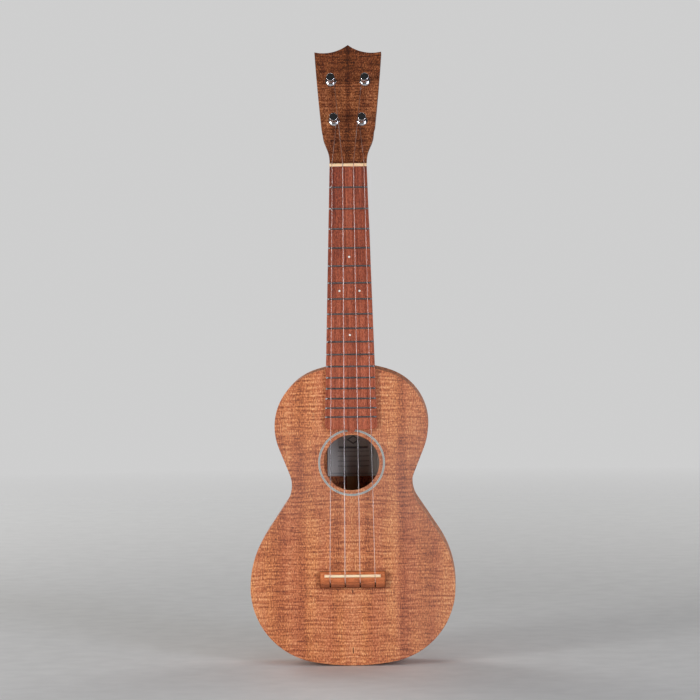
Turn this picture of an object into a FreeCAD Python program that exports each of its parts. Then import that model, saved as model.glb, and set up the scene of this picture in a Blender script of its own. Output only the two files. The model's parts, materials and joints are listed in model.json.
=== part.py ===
"""Concert ukulele with koa body, slotted bridge and four rear friction pegs.

Row frame, in millimetres: +Z runs along the neck towards the head, the front faces -Y, +X is the
treble side. Y = 0 is the soundboard's outer face and Z = 0 is the end of the scale, under the nut.
"""

import FreeCAD
import Part
import math
import os

from FreeCAD import Base

os.makedirs("parts", exist_ok=True)
V = Base.Vector

# ---------------------------------------------------------------- driving dimensions
SCALE = 381.0
BODY_JOINT_Z = -SCALE / 2
TAIL_Z = -474.8

LOWER_BOUT_HALF = 97.2
LOWER_BOUT_Z = -400.6
WAIST_HALF = 56.8
WAIST_Z = -303.0
UPPER_BOUT_HALF = 72.6
UPPER_BOUT_Z = -247.3
LOWER_CORNER_R = 71.8
LOWER_SHOULDER_R = 93.8
WAIST_R = 28.0
UPPER_HIP_R = 56.7
UPPER_CORNER_R = 53.6

TOP_T = 2.0
TOP_EDGE_R = 0.6
HOLE_EDGE_R = 0.4
BACK_T = 2.0
BACK_EDGE_R = 0.9
SIDE_T = 1.9
DEPTH_NECK = 60.0
DEPTH_TAIL = 66.0
LINING_W = 4.5
LINING_H = 9.0

HOLE_Z = -281.9
HOLE_R = 26.2
ROSETTE_IN = 29.75
ROSETTE_LIGHT = 0.46
ROSETTE_DARK = 0.24
ROSETTE_LIGHT_COUNT = 3
ROSETTE_DEPTH = 1.0

FB_T = 5.0
FB_HALF_NUT = 17.5
FB_HALF_12 = 23.0
FB_END_Z = -250.2
FB_POINT = 3.4
FB_POINT_HALF = 4.2
FB_CORNER_R = 5.0
FB_EDGE_R = 0.4
FRET_COUNT = 17
FRET_CROWN_W = 1.7
FRET_CROWN_H = 0.85
FRET_BEVEL = 0.6
FRET_TANG_W = 0.5
FRET_TANG_H = 1.5
DOT_R = 1.0
DOT_T = 1.0
DOT_PAIR = 19.0

NUT_FRONT_Z = -1.7
NUT_T = 2.9
NUT_H = 7.2
SADDLE_Z = -388.8
SADDLE_T = 2.6
SADDLE_HALF = 26.6
SADDLE_TOP = 10.6
SADDLE_SEAT = 3.4

BRIDGE_HALF = 31.2
BRIDGE_FRONT_Z = -384.6
BRIDGE_REAR_Z = -400.4
BRIDGE_T = 6.8
BRIDGE_BEVEL = 1.2
SLOT_W = 1.1
SLOT_L = 5.5
POCKET_R = 1.5
POCKET_Y = -2.3
POCKET_L = 6.0

NECK_DEPTH_NUT = 15.0
NECK_DEPTH_HEEL = 18.5
HEEL_START_Z = -150.0
HEEL_DEPTH = 59.0
HEEL_REACH = 33.0
HEEL_POWER = 2.4
TENON_HALF = 10.0
TENON_L = 16.0
TENON_DEPTH = 50.0

HEAD_TILT = 15.0
HEAD_T = 11.0
PLATE_T = 1.8
PLATE_EDGE_R = 0.5
HEAD_CORNER_X = 31.7
HEAD_CORNER_S = 108.8
CREST_R = 38.0
CREST_X = 23.2
FLARE_START_S = 1.0
FLARE_END_S = 36.0
FLARE_CONCAVE_R = 36.6
FLARE_CONVEX_R = 75.0
FLARE_LEAN = 22.0
LONG_SIDE_LEAN = 5.1
LONG_SIDE_BOW = 0.35
HEAD_FOOT = 6.0
HEAD_REAR_EDGE_R = 1.5

STRING_NAMES = ("g", "c", "e", "a")
STRING_R = {"g": 0.305, "c": 0.43, "e": 0.33, "a": 0.265}
STRING_NUT_X = {"g": -15.0, "c": -5.1, "e": 5.1, "a": 15.0}
STRING_BRIDGE_X = {"g": -21.3, "c": -7.1, "e": 7.1, "a": 21.3}
NUT_SLOT_FLOOR = 6.2
STRING_CLEAR = 0.03

PEG_X = {"g": -13.3, "c": -16.1, "e": 16.1, "a": 13.3}
PEG_S = {"g": 41.1, "c": 80.1, "e": 80.1, "a": 41.1}
PEG_TURN = {"g": 24.0, "c": -16.0, "e": 12.0, "a": -30.0}
PEG_SHAFT_R = 3.0
PEG_WAIST_R = 2.5
PEG_CAP_R = 3.85
PEG_TOP = 15.0
PEG_BORE_R = 3.05
BUSHING_R = 5.3
BUSHING_H = 2.3
SLEEVE_R = 3.9
SLEEVE_L = 5.0
COLLAR_R = 6.4
COLLAR_H = 3.5
SEAT_CLEAR = 0.3
PEG_DISH = 0.25
WASHER_T = 0.85
WASHER_R = 5.0
WRAP_TURNS = 3

LABEL_HALF_W = 25.0
LABEL_X = 0.3
LABEL_BOTTOM_Z = -299.0
LABEL_H = 43.0
LABEL_T = 0.2

BLOCK_W = 24.0
NECK_BLOCK_L = 22.0
TAIL_BLOCK_HALF = 20.0
TAIL_BLOCK_L = 12.0

BRACE_W = 5.0
BRACE_H = 8.0
BRACE_END_H = 2.5
BRACE_TAPER = 26.0
TOP_BRACE_Z = {"upper": -243.0, "lower": -319.0}
BACK_BRACE_Z = (-232.0, -318.0, -402.0)
FAN_X = (-34.0, 0.0, 34.0)
FAN_SPREAD = 7.0
FAN_START_Z = -324.0
FAN_END_Z = -446.0
FAN_H = 6.0
FAN_END_H = 2.2
FAN_TAPER = 22.0
BRIDGE_PLATE_HALF = 36.0
BRIDGE_PLATE_T = 2.0
BRIDGE_PLATE_MARGIN = 6.0
STRIP_HALF = 6.0
STRIP_T = 2.0
STRIP_GAP = 2.0

NUT_TOP_Z = NUT_FRONT_Z + NUT_T
NECK_TAPER = (FB_HALF_12 - FB_HALF_NUT) / (SCALE / 2)
BACK_TILT = math.degrees(math.atan((DEPTH_TAIL - DEPTH_NECK) / (BODY_JOINT_Z - TAIL_Z)))
TILT = math.radians(HEAD_TILT)


# ---------------------------------------------------------------- helpers
def save(name, *solids):
    """Write one node; several solids become one compound."""
    shape = solids[0] if len(solids) == 1 else Part.makeCompound(list(solids))
    if not shape.isValid():
        print("NOT VALID", name)
    shape.exportStep(os.path.join("parts", name + ".step"))
    print(f"{name:24s} solids {len(shape.Solids):2d}  volume {shape.Volume / 1000:9.3f} cm3")


def box(x0, x1, y0, y1, z0, z1):
    return Part.makeBox(x1 - x0, y1 - y0, z1 - z0, V(x0, y0, z0))


def front_point(x, z):
    """A point of a front-view outline, on the plane Y = 0."""
    return V(x, 0, z)


def arc_about(centre, radius, start_deg, end_deg):
    """Arc in a front-view outline; angles run from +X towards +Z."""

    def at(angle_deg):
        a = math.radians(angle_deg)
        return front_point(centre[0] + radius * math.cos(a), centre[1] + radius * math.sin(a))

    return Part.Arc(at(start_deg), at((start_deg + end_deg) / 2), at(end_deg)).toShape()


def line(p, q):
    return Part.LineSegment(p, q).toShape()


def mirrored(edges):
    """The same outline on the bass side, in reverse order."""
    plane = (V(0, 0, 0), V(1, 0, 0))
    return [edge.mirror(*plane) for edge in reversed(edges)]


def prism(edges, y0, y1):
    face = Part.Face(Part.Wire(Part.__sortEdges__(edges)))
    solid = face.extrude(V(0, y1 - y0, 0))
    solid.translate(V(0, y0, 0))
    return solid


def fuse_all(solids):
    return solids[0].multiFuse(solids[1:]).removeSplitter()


def cut_all(shape, tools):
    return shape.cut(Part.makeCompound(list(tools)))


def on_back(shape):
    """Turn something built against the plane Y = DEPTH_NECK onto the sloping back."""
    turned = shape.copy()
    turned.rotate(V(0, DEPTH_NECK, BODY_JOINT_Z), V(1, 0, 0), BACK_TILT)
    return turned


# ---------------------------------------------------------------- body outline
def direction_deg(origin, target):
    return math.degrees(math.atan2(target[1] - origin[1], target[0] - origin[0]))


def end_radius(half, corner_r, height):
    """Radius of an end arc, centred on the axis, that meets a corner arc of the given radius."""
    inset = half - corner_r
    return (inset ** 2 + height ** 2 - corner_r ** 2) / (2 * (height - corner_r))


def inner_tangent_deg(convex, convex_r, concave, concave_r, sign):
    """Direction, at the convex arc's centre, of its tangent point on a line shared with the waist arc."""
    gap = math.hypot(concave[0] - convex[0], concave[1] - convex[1])
    return direction_deg(convex, concave) + sign * math.degrees(math.acos((convex_r + concave_r) / gap))


TAIL_R = end_radius(LOWER_BOUT_HALF, LOWER_CORNER_R, LOWER_BOUT_Z - TAIL_Z)
NECK_END_R = end_radius(UPPER_BOUT_HALF, UPPER_CORNER_R, BODY_JOINT_Z - UPPER_BOUT_Z)
C_TAIL = (0.0, TAIL_Z + TAIL_R)
C_LOW_CORNER = (LOWER_BOUT_HALF - LOWER_CORNER_R, LOWER_BOUT_Z)
C_LOW_SHOULDER = (LOWER_BOUT_HALF - LOWER_SHOULDER_R, LOWER_BOUT_Z)
C_WAIST = (WAIST_HALF + WAIST_R, WAIST_Z)
C_UP_HIP = (UPPER_BOUT_HALF - UPPER_HIP_R, UPPER_BOUT_Z)
C_UP_CORNER = (UPPER_BOUT_HALF - UPPER_CORNER_R, UPPER_BOUT_Z)
C_NECK_END = (0.0, BODY_JOINT_Z - NECK_END_R)


def body_edges(inset=0.0):
    """Closed guitar-shaped outline of tangent arcs, moved inwards by inset."""
    low_join = direction_deg(C_TAIL, C_LOW_CORNER)
    up_join = direction_deg(C_NECK_END, C_UP_CORNER)
    to_waist = inner_tangent_deg(C_LOW_SHOULDER, LOWER_SHOULDER_R, C_WAIST, WAIST_R, -1)
    to_hip = inner_tangent_deg(C_UP_HIP, UPPER_HIP_R, C_WAIST, WAIST_R, 1)
    half = [
        arc_about(C_TAIL, TAIL_R - inset, -90, low_join),
        arc_about(C_LOW_CORNER, LOWER_CORNER_R - inset, low_join, 0),
        arc_about(C_LOW_SHOULDER, LOWER_SHOULDER_R - inset, 0, to_waist),
        arc_about(C_WAIST, WAIST_R + inset, 180 + to_waist, 180 + to_hip),
        arc_about(C_UP_HIP, UPPER_HIP_R - inset, to_hip, 0),
        arc_about(C_UP_CORNER, UPPER_CORNER_R - inset, 0, up_join),
        arc_about(C_NECK_END, NECK_END_R - inset, up_join, 90),
    ]
    joined = []
    for first, second in zip(half, half[1:] + [None]):
        joined.append(first)
        if second is None:
            continue
        p = first.valueAt(first.LastParameter)
        q = second.valueAt(second.FirstParameter)
        if p.distanceToPoint(q) > 0.01:
            joined.append(line(p, q))
    return joined + mirrored(joined)


def body_prism(inset, y0, y1):
    return prism(body_edges(inset), y0, y1)


FAR = 300.0
BASS_SPACE = box(-FAR, 0, -FAR, FAR, -2 * FAR, FAR)
TREBLE_SPACE = box(0, FAR, -FAR, FAR, -2 * FAR, FAR)
FRONT_OF_BACK = on_back(box(-FAR, FAR, -FAR, DEPTH_NECK - BACK_T, -2 * FAR, FAR))
BACK_SLAB = on_back(box(-FAR, FAR, DEPTH_NECK - BACK_T, DEPTH_NECK, -2 * FAR, FAR))
HALVES = (("bass", BASS_SPACE), ("treble", TREBLE_SPACE))


def edges_on(shape, y, outside=True):
    """Edges of a plate that lie in the plane Y = y, either its outline or its round hole."""
    flat = [e for e in shape.Edges if abs(e.BoundBox.YMin - y) < 0.01 and abs(e.BoundBox.YMax - y) < 0.01]
    hole_zone = HOLE_R + 0.5

    def round_hole(e):
        box_of = e.BoundBox
        reach = max(abs(box_of.XMin), abs(box_of.XMax), abs(box_of.Center.z - HOLE_Z))
        return reach < hole_zone

    return [e for e in flat if round_hole(e) != outside]


def ring(r_in, r_out, y0, y1, z=HOLE_Z):
    """Flat ring round the soundhole's axis."""
    outer = Part.makeCylinder(r_out, y1 - y0, V(0, y0, z), V(0, 1, 0))
    inner = Part.makeCylinder(r_in, y1 - y0, V(0, y0, z), V(0, 1, 0))
    return outer.cut(inner)


def make_soundbox():
    rosette_out = ROSETTE_IN + ROSETTE_LIGHT_COUNT * ROSETTE_LIGHT + (ROSETTE_LIGHT_COUNT - 1) * ROSETTE_DARK
    top = body_prism(0, 0, TOP_T)
    top = top.makeFillet(TOP_EDGE_R, edges_on(top, 0))
    top = top.cut(Part.makeCylinder(HOLE_R, TOP_T, V(0, 0, HOLE_Z), V(0, 1, 0)))
    top = top.makeFillet(HOLE_EDGE_R, edges_on(top, 0, outside=False))
    top = top.cut(ring(ROSETTE_IN, rosette_out, 0, ROSETTE_DEPTH))
    back = body_prism(0, 0, DEPTH_TAIL + 5).common(BACK_SLAB)
    rear_face = max(back.Faces, key=lambda f: f.CenterOfMass.y)
    back = back.makeFillet(BACK_EDGE_R, rear_face.Edges)
    wall = body_prism(0, TOP_T, DEPTH_TAIL + 5).cut(body_prism(SIDE_T, TOP_T, DEPTH_TAIL + 5))
    wall = wall.common(FRONT_OF_BACK)
    mortise = box(-TENON_HALF, TENON_HALF, TOP_T, TOP_T + TENON_DEPTH, BODY_JOINT_Z - TENON_L, 0)
    wall = wall.cut(mortise)
    for name, space in HALVES:
        save("soundboard_" + name, top.common(space))
        save("back_" + name, back.common(space))
        save("side_" + name, wall.common(space))

    light, dark = [], []
    for i in range(ROSETTE_LIGHT_COUNT):
        start = ROSETTE_IN + i * (ROSETTE_LIGHT + ROSETTE_DARK)
        light.append(ring(start, start + ROSETTE_LIGHT, 0, ROSETTE_DEPTH))
        if i < ROSETTE_LIGHT_COUNT - 1:
            start += ROSETTE_LIGHT
            dark.append(ring(start, start + ROSETTE_DARK, 0, ROSETTE_DEPTH))
    save("rosette_light_rings", *light)
    save("rosette_dark_rings", *dark)

    inside = body_prism(SIDE_T, TOP_T, DEPTH_TAIL + 5).common(FRONT_OF_BACK)
    neck_zone = box(-BLOCK_W, BLOCK_W, 0, FAR, BODY_JOINT_Z - NECK_BLOCK_L, 0)
    tail_zone = box(-TAIL_BLOCK_HALF, TAIL_BLOCK_HALF, 0, FAR, -FAR * 2, TAIL_Z + TAIL_BLOCK_L)
    save("neck_block", inside.common(neck_zone).cut(mortise))
    save("tail_block", inside.common(tail_zone))

    band = inside.cut(body_prism(SIDE_T + LINING_W, TOP_T, DEPTH_TAIL + 5))
    band = band.cut(neck_zone).cut(tail_zone)
    top_zone = box(-FAR, FAR, TOP_T, TOP_T + LINING_H, -FAR * 2, FAR)
    back_zone = on_back(box(-FAR, FAR, DEPTH_NECK - BACK_T - LINING_H, DEPTH_NECK, -FAR * 2, FAR))
    save("top_linings", *band.common(top_zone).Solids)
    save("back_linings", *band.common(back_zone).common(FRONT_OF_BACK).Solids)


# ---------------------------------------------------------------- bracing
def cross_brace(z, y_base, towards):
    """Brace across the body, thinned at both ends, standing on the plane Y = y_base."""
    reach = LOWER_BOUT_HALF
    free = body_half_width(z) - SIDE_T - LINING_W
    full = free - BRACE_TAPER
    points = [
        (-reach, 0), (reach, 0), (reach, BRACE_END_H), (free, BRACE_END_H),
        (full, BRACE_H), (-full, BRACE_H), (-free, BRACE_END_H), (-reach, BRACE_END_H),
    ]
    corners = [V(x, y_base + towards * h, z - BRACE_W / 2) for x, h in points]
    return Part.Face(Part.makePolygon(corners + corners[:1])).extrude(V(0, 0, BRACE_W))


def fan_brace(x):
    """Brace along the lower bout, thinned at both ends and spreading towards the tail."""
    side = [(FAN_START_Z, 0), (FAN_START_Z, FAN_END_H), (FAN_START_Z - FAN_TAPER, FAN_H),
            (FAN_END_Z + FAN_TAPER, FAN_H), (FAN_END_Z, FAN_END_H), (FAN_END_Z, 0)]
    corners = [V(x - BRACE_W / 2, TOP_T + height, z) for z, height in side]
    bar = Part.Face(Part.makePolygon(corners + corners[:1])).extrude(V(BRACE_W, 0, 0))
    bar.rotate(V(x, 0, FAN_START_Z), V(0, 1, 0), FAN_SPREAD * x / FAN_X[-1])
    return bar


def body_half_width(z):
    """Half width of the body at height z, from a cut through the outline."""
    probe = box(0, FAR, -1, 1, z - 0.01, z + 0.01).common(body_prism(0, -1, 1))
    return probe.BoundBox.XMax


def make_braces():
    well = body_prism(SIDE_T + LINING_W, TOP_T, DEPTH_TAIL + 5).common(FRONT_OF_BACK)
    for name, z in TOP_BRACE_Z.items():
        save(name + "_top_brace", cross_brace(z, TOP_T, 1).common(well))

    plate = box(-BRIDGE_PLATE_HALF, BRIDGE_PLATE_HALF, TOP_T, TOP_T + BRIDGE_PLATE_T,
                BRIDGE_REAR_Z - BRIDGE_PLATE_MARGIN, BRIDGE_FRONT_Z + BRIDGE_PLATE_MARGIN)
    save("bridge_plate", plate)
    save("fan_braces", *[fan_brace(x).cut(plate) for x in FAN_X])

    inner = DEPTH_NECK - BACK_T
    bars = [on_back(cross_brace(z, inner, -1)).common(well) for z in BACK_BRACE_Z]
    save("back_braces", *bars)
    strip = on_back(box(-STRIP_HALF, STRIP_HALF, inner - STRIP_T, inner,
                        TAIL_Z + TAIL_BLOCK_L + STRIP_GAP, BODY_JOINT_Z - NECK_BLOCK_L - STRIP_GAP))
    strip = cut_all(strip, bars)
    save("back_centre_strip", *strip.Solids)
    label = on_back(box(LABEL_X - LABEL_HALF_W, LABEL_X + LABEL_HALF_W, inner - STRIP_T - LABEL_T,
                        inner - STRIP_T, LABEL_BOTTOM_Z, LABEL_BOTTOM_Z + LABEL_H))
    save("label", label)


# ---------------------------------------------------------------- neck and head
def board_half(z):
    return FB_HALF_NUT - NECK_TAPER * z


def smooth(t):
    t = min(max(t, 0.0), 1.0)
    return t * t * (3 - 2 * t)


def head_half_width(s):
    """Half width of the head at s, the distance along its face from the nut."""
    sample = 0.01
    cut = box(0, FAR, -1, 1, s - sample, s + sample).common(head_prism(0, -1, 1))
    return cut.BoundBox.XMax


def flare_points():
    """Points of the flare's two arcs: nut corner, first arc, inflection, second arc, shoulder."""
    lean = math.radians(FLARE_LEAN)
    side = math.radians(LONG_SIDE_LEAN)
    corner_x = FB_HALF_NUT + 0.1

    def concave(angle):
        return (corner_x + FLARE_CONCAVE_R * (1 - math.cos(angle)),
                FLARE_START_S + FLARE_CONCAVE_R * math.sin(angle))

    turn = concave(lean)

    def convex(angle):
        return (turn[0] + FLARE_CONVEX_R * (math.cos(angle) - math.cos(lean)),
                turn[1] + FLARE_CONVEX_R * (math.sin(lean) - math.sin(angle)))

    return concave(0), concave(lean / 2), turn, convex((lean + side) / 2), convex(side)


def head_prism(s_start, w0, w1):
    """The head's outline as a slab in head coordinates: x, w and s stand in X, Y and Z."""
    nut_corner, concave_mid, turn, convex_mid, shoulder = flare_points()
    corner = (HEAD_CORNER_X, HEAD_CORNER_S)
    side_mid = ((shoulder[0] + corner[0]) / 2 + LONG_SIDE_BOW, (shoulder[1] + corner[1]) / 2)
    centre_s = HEAD_CORNER_S + math.sqrt(CREST_R ** 2 - (HEAD_CORNER_X - CREST_X) ** 2)

    def crest(x):
        return (x, centre_s - math.sqrt(CREST_R ** 2 - (x - CREST_X) ** 2))

    def arc3(a, b, c):
        return Part.Arc(front_point(*a), front_point(*b), front_point(*c)).toShape()

    foot = (nut_corner[0], -HEAD_FOOT)
    half = [
        line(front_point(0, foot[1]), front_point(*foot)),
        line(front_point(*foot), front_point(*nut_corner)),
        arc3(nut_corner, concave_mid, turn),
        arc3(turn, convex_mid, shoulder),
        arc3(shoulder, side_mid, corner),
        arc3(corner, crest(0.7 * CREST_X), crest(0)),
    ]
    slab = prism(half + mirrored(half), w0, w1)
    if s_start > foot[1]:
        slab = slab.common(box(-FAR, FAR, w0, w1, s_start, FAR))
    return slab


HEAD_ORIGIN = V(0, 0, NUT_TOP_Z)
HEAD_ALONG = V(0, math.sin(TILT), math.cos(TILT))
HEAD_OUT = V(0, -math.cos(TILT), math.sin(TILT))


def head_point(x, s, w):
    """Row position of a point given across, along and out from the head's wooden face."""
    return HEAD_ORIGIN + V(x, 0, 0) + HEAD_ALONG * s + HEAD_OUT * w


def on_head(shape):
    """Move a shape built with (x, -w, s) in (X, Y, Z) onto the tilted head."""
    turned = shape.copy()
    turned.rotate(V(0, 0, 0), V(1, 0, 0), -HEAD_TILT)
    turned.translate(HEAD_ORIGIN)
    return turned


def bezier(points):
    curve = Part.BezierCurve()
    curve.setPoles(points)
    return curve.toShape()


def neck_section(place, half, depth, wall, flat_half, pull, rise):
    """Section wire of the neck: open-topped walls, two Bezier corners and a flat bottom."""
    knee = wall + pull * (depth - wall)
    toe = flat_half + pull * (half - flat_half)
    right = [place(half, wall), place(half, knee), place(toe, depth), place(flat_half, depth)]
    left = [place(-flat_half, depth), place(-toe, depth), place(-half, knee), place(-half, wall)]
    return Part.Wire([
        line(place(-half, -rise), place(half, -rise)),
        line(place(half, -rise), right[0]),
        bezier(right),
        line(right[3], left[0]),
        bezier(left),
        line(left[3], place(-half, -rise)),
    ])


# A quarter ellipse as a Bezier curve has its handles this far along its sides.
QUARTER = 0.5523
HEEL_PULL = QUARTER - 0.17
NECK_WALL = 0.8
NECK_FLAT = 0.6
SHAFT_RISE = 6.0
HEAD_RISE = 3.0
THROAT_BLEND = 1.6


def shaft_section(z):
    """Section of the neck below the nut, deepening into the heel."""
    depth = NECK_DEPTH_NUT + (NECK_DEPTH_HEEL - NECK_DEPTH_NUT) * min(z / HEEL_START_Z, 1.0)
    heel = 0.0
    if z < HEEL_START_Z:
        t = (HEEL_START_Z - z) / HEEL_REACH
        depth += (HEEL_DEPTH - NECK_DEPTH_HEEL) * t ** HEEL_POWER
        heel = min(t ** 1.5, 1.0)
    pull = QUARTER + (HEEL_PULL - QUARTER) * heel
    return neck_section(lambda x, q: V(x, q, z), board_half(z), depth, NECK_WALL, NECK_FLAT, pull, SHAFT_RISE)


def flare_section(s):
    """Section square to the head, from the rounded neck to the flat-backed head."""
    blend = smooth(s / FLARE_END_S)
    straight = (NECK_DEPTH_NUT - s * math.sin(TILT)) / math.cos(TILT)
    soft = THROAT_BLEND * (1 - blend)
    over = straight - HEAD_T
    depth = HEAD_T + (over + math.sqrt(over ** 2 + soft ** 2)) / 2
    wall = NECK_WALL + (HEAD_T - HEAD_REAR_EDGE_R - NECK_WALL) * blend
    half = head_half_width(s)
    flat_half = NECK_FLAT + (half - HEAD_REAR_EDGE_R - NECK_FLAT) * blend
    return neck_section(lambda x, q: head_point(x, s, -q), half, depth, wall, flat_half, QUARTER, HEAD_RISE)


def make_neck():
    shaft_z = (-197, -190, -183, -175, -167, -159, -150, -135, -100, -50, 0)
    flare_s = (7.0, 13.0, 19.0, 26.0, FLARE_END_S)
    sections = [shaft_section(z) for z in shaft_z] + [flare_section(s) for s in flare_s]
    blank = Part.makeLoft(sections, True, False)
    slab = head_prism(FLARE_END_S, 0, HEAD_T)
    rear_edges = [e for e in slab.Edges
                  if e.BoundBox.YMin > HEAD_T - 0.01 and e.BoundBox.ZMax > FLARE_END_S + 0.5]
    slab = on_head(slab.makeFillet(HEAD_REAR_EDGE_R, rear_edges))
    neck = blank.fuse(slab, 0.01)
    front = box(-FAR, FAR, -FAR, 0, -FAR, FAR)
    plane = on_head(box(-FAR, FAR, -FAR, 0, -FAR, FAR))
    beyond = box(-FAR, FAR, HEEL_DEPTH, FAR, -FAR, BODY_JOINT_Z + 60)
    neck = neck.cut(front).cut(plane).cut(beyond)
    neck = neck.cut(body_prism(0, -10, DEPTH_TAIL + 20))
    tenon = box(-TENON_HALF, TENON_HALF, TOP_T, TOP_T + TENON_DEPTH, BODY_JOINT_Z - TENON_L, BODY_JOINT_Z + 4)
    neck = neck.fuse(tenon)
    neck = cut_all(neck, [peg_hole(n) for n in STRING_NAMES])
    neck = cut_all(neck, [collar_seat(n) for n in STRING_NAMES]).removeSplitter()
    save("neck", *neck.Solids)

    plate = head_prism(-HEAD_FOOT, -PLATE_T, 0)
    rim = [e for e in plate.Edges if e.BoundBox.YMax < -PLATE_T + 0.01 and e.BoundBox.ZMax > 1]
    plate = on_head(plate.makeFillet(PLATE_EDGE_R, rim))
    plate = plate.common(box(-FAR, FAR, -FAR, FAR, NUT_TOP_Z, FAR))
    plate = cut_all(plate, [peg_hole(n) for n in STRING_NAMES])
    save("headplate", plate)


# ---------------------------------------------------------------- pegs
def on_peg(shape, name):
    """Place a shape whose own Z axis is the peg's axis and whose Z = 0 is the headplate's face."""
    placed = shape.copy()
    placed.rotate(V(0, 0, 0), V(0, 0, 1), PEG_TURN[name])
    placed.rotate(V(0, 0, 0), V(1, 0, 0), 90 - HEAD_TILT)
    placed.translate(head_point(PEG_X[name], PEG_S[name], PLATE_T))
    return placed


def peg_hole(name):
    return on_peg(Part.makeCylinder(SLEEVE_R, 40, V(0, 0, -20), V(0, 0, 1)), name)


def collar_seat(name):
    """Spot face behind the head, which clears the start of the flare from the collar."""
    room = Part.makeCylinder(COLLAR_R + SEAT_CLEAR, FAR, V(0, 0, REAR - FAR), V(0, 0, 1))
    return on_peg(room, name)


def turned(profile):
    """Solid of revolution from (radius, height) points."""
    points = [V(r, 0, h) for r, h in profile]
    return Part.Face(Part.makePolygon(points + points[:1])).revolve(V(0, 0, 0), V(0, 0, 1), 360)


REAR = -(HEAD_T + PLATE_T)
WASHER_GAP = 0.05
BUTTON_TOP = REAR - COLLAR_H - WASHER_GAP - WASHER_T
BUTTON_L = 15.0
# Each ring of a button: distance below its top, half width and half thickness.
BUTTON_RINGS = (
    (0.0, 4.7, 4.7),
    (2.2, 4.3, 3.9),
    (5.6, 7.6, 4.2),
    (9.2, 9.9, 4.4),
    (12.6, 9.3, 3.9),
    (BUTTON_L, 6.2, 2.9),
)
STEM_R = 2.4
STEM_L = 10.0
EYE_R = 0.65
EYE_Z = 7.4
SCREW_R = 1.3
SCREW_HEAD_R = 2.3
SCREW_HEAD_T = 1.0
SCREW_BITE = 6.5
SCREW_LEAD = 8.0
BUSHING_LIP = 0.7
BUSHING_CHAMFER = 0.35
COLLAR_SLEEVE_L = 3.5
COLLAR_RIM = 1.4
WAIST_LOW = 3.5
WAIST_HIGH = 8.3
CAP_CONE = 9.4
CAP_H = 1.9
CAP_EDGE = 0.3


def make_bushing():
    return turned([(PEG_BORE_R, -SLEEVE_L), (SLEEVE_R, -SLEEVE_L), (SLEEVE_R, 0), (BUSHING_R, 0),
                   (BUSHING_R, BUSHING_LIP), (BUSHING_R - BUSHING_CHAMFER, BUSHING_LIP + BUSHING_CHAMFER),
                   (PEG_BORE_R + 0.9, BUSHING_H - 0.1),
                   (PEG_BORE_R + 0.5, BUSHING_H), (PEG_BORE_R, BUSHING_H)])


def make_collar():
    return turned([(PEG_BORE_R, REAR + COLLAR_SLEEVE_L), (SLEEVE_R, REAR + COLLAR_SLEEVE_L),
                   (SLEEVE_R, REAR), (COLLAR_R, REAR), (COLLAR_R, REAR - COLLAR_RIM),
                   (COLLAR_R - 0.5, REAR - COLLAR_RIM - 0.8), (COLLAR_R - 1.3, REAR - COLLAR_H),
                   (PEG_BORE_R, REAR - COLLAR_H)])


def wrap_height(name):
    """Height above the headplate of the lowest wrap: level with the string behind the nut."""
    return (NUT_SLOT_FLOOR + STRING_R[name] + STRING_CLEAR) * math.cos(TILT) - PLATE_T


def make_post(name):
    post = turned([
        (0, BUTTON_TOP - STEM_L), (STEM_R, BUTTON_TOP - STEM_L), (STEM_R, BUTTON_TOP),
        (PEG_SHAFT_R, BUTTON_TOP), (PEG_SHAFT_R, WAIST_LOW - 0.6), (PEG_WAIST_R, WAIST_LOW),
        (PEG_WAIST_R, WAIST_HIGH), (PEG_WAIST_R + 0.3, CAP_CONE),
        (PEG_CAP_R - 0.15, PEG_TOP - CAP_H - 0.5), (PEG_CAP_R, PEG_TOP - CAP_H),
        (PEG_CAP_R, PEG_TOP - CAP_EDGE), (PEG_CAP_R - CAP_EDGE, PEG_TOP),
        (PEG_CAP_R - 0.7, PEG_TOP), (0, PEG_TOP - PEG_DISH),
    ])
    post = post.cut(Part.makeCylinder(EYE_R, 4 * PEG_SHAFT_R, V(-2 * PEG_SHAFT_R, 0, EYE_Z), V(1, 0, 0)))
    lead = Part.makeCylinder(SCREW_R, SCREW_LEAD, V(0, 0, BUTTON_TOP - STEM_L - 1), V(0, 0, 1))
    return post.cut(lead)


def make_button():
    wires = []
    for depth, half_w, half_t in BUTTON_RINGS:
        ellipse = Part.Ellipse(V(0, 0, BUTTON_TOP - depth), half_w + 0.001, half_t)
        wires.append(Part.Wire(ellipse.toShape()))
    knob = Part.makeLoft(wires, True, False)
    end = BUTTON_TOP - BUTTON_L
    stem = Part.makeCylinder(STEM_R, STEM_L, V(0, 0, BUTTON_TOP - STEM_L), V(0, 0, 1))
    shank = Part.makeCylinder(SCREW_R, BUTTON_L, V(0, 0, end), V(0, 0, 1))
    head_seat = Part.makeCylinder(SCREW_HEAD_R + 0.1, SCREW_HEAD_T, V(0, 0, end), V(0, 0, 1))
    return cut_all(knob, [stem.fuse(shank).fuse(head_seat)])


def make_screw():
    end = BUTTON_TOP - BUTTON_L
    seat = end + SCREW_HEAD_T
    shank_top = BUTTON_TOP - STEM_L + SCREW_BITE
    screw = turned([(0, seat - 1.3), (SCREW_HEAD_R - 0.5, seat - 1.2), (SCREW_HEAD_R, seat - 0.6),
                    (SCREW_HEAD_R, seat), (SCREW_R, seat), (SCREW_R, shank_top), (0, shank_top)])
    for x, y in ((1.5, 0.3), (0.3, 1.5)):
        screw = screw.cut(box(-x, x, -y, y, seat - 2, seat - 0.5))
    return screw


def make_washer():
    outer = Part.makeCylinder(WASHER_R, WASHER_T, V(0, 0, BUTTON_TOP), V(0, 0, 1))
    return outer.cut(Part.makeCylinder(PEG_SHAFT_R, WASHER_T, V(0, 0, BUTTON_TOP), V(0, 0, 1)))


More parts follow.
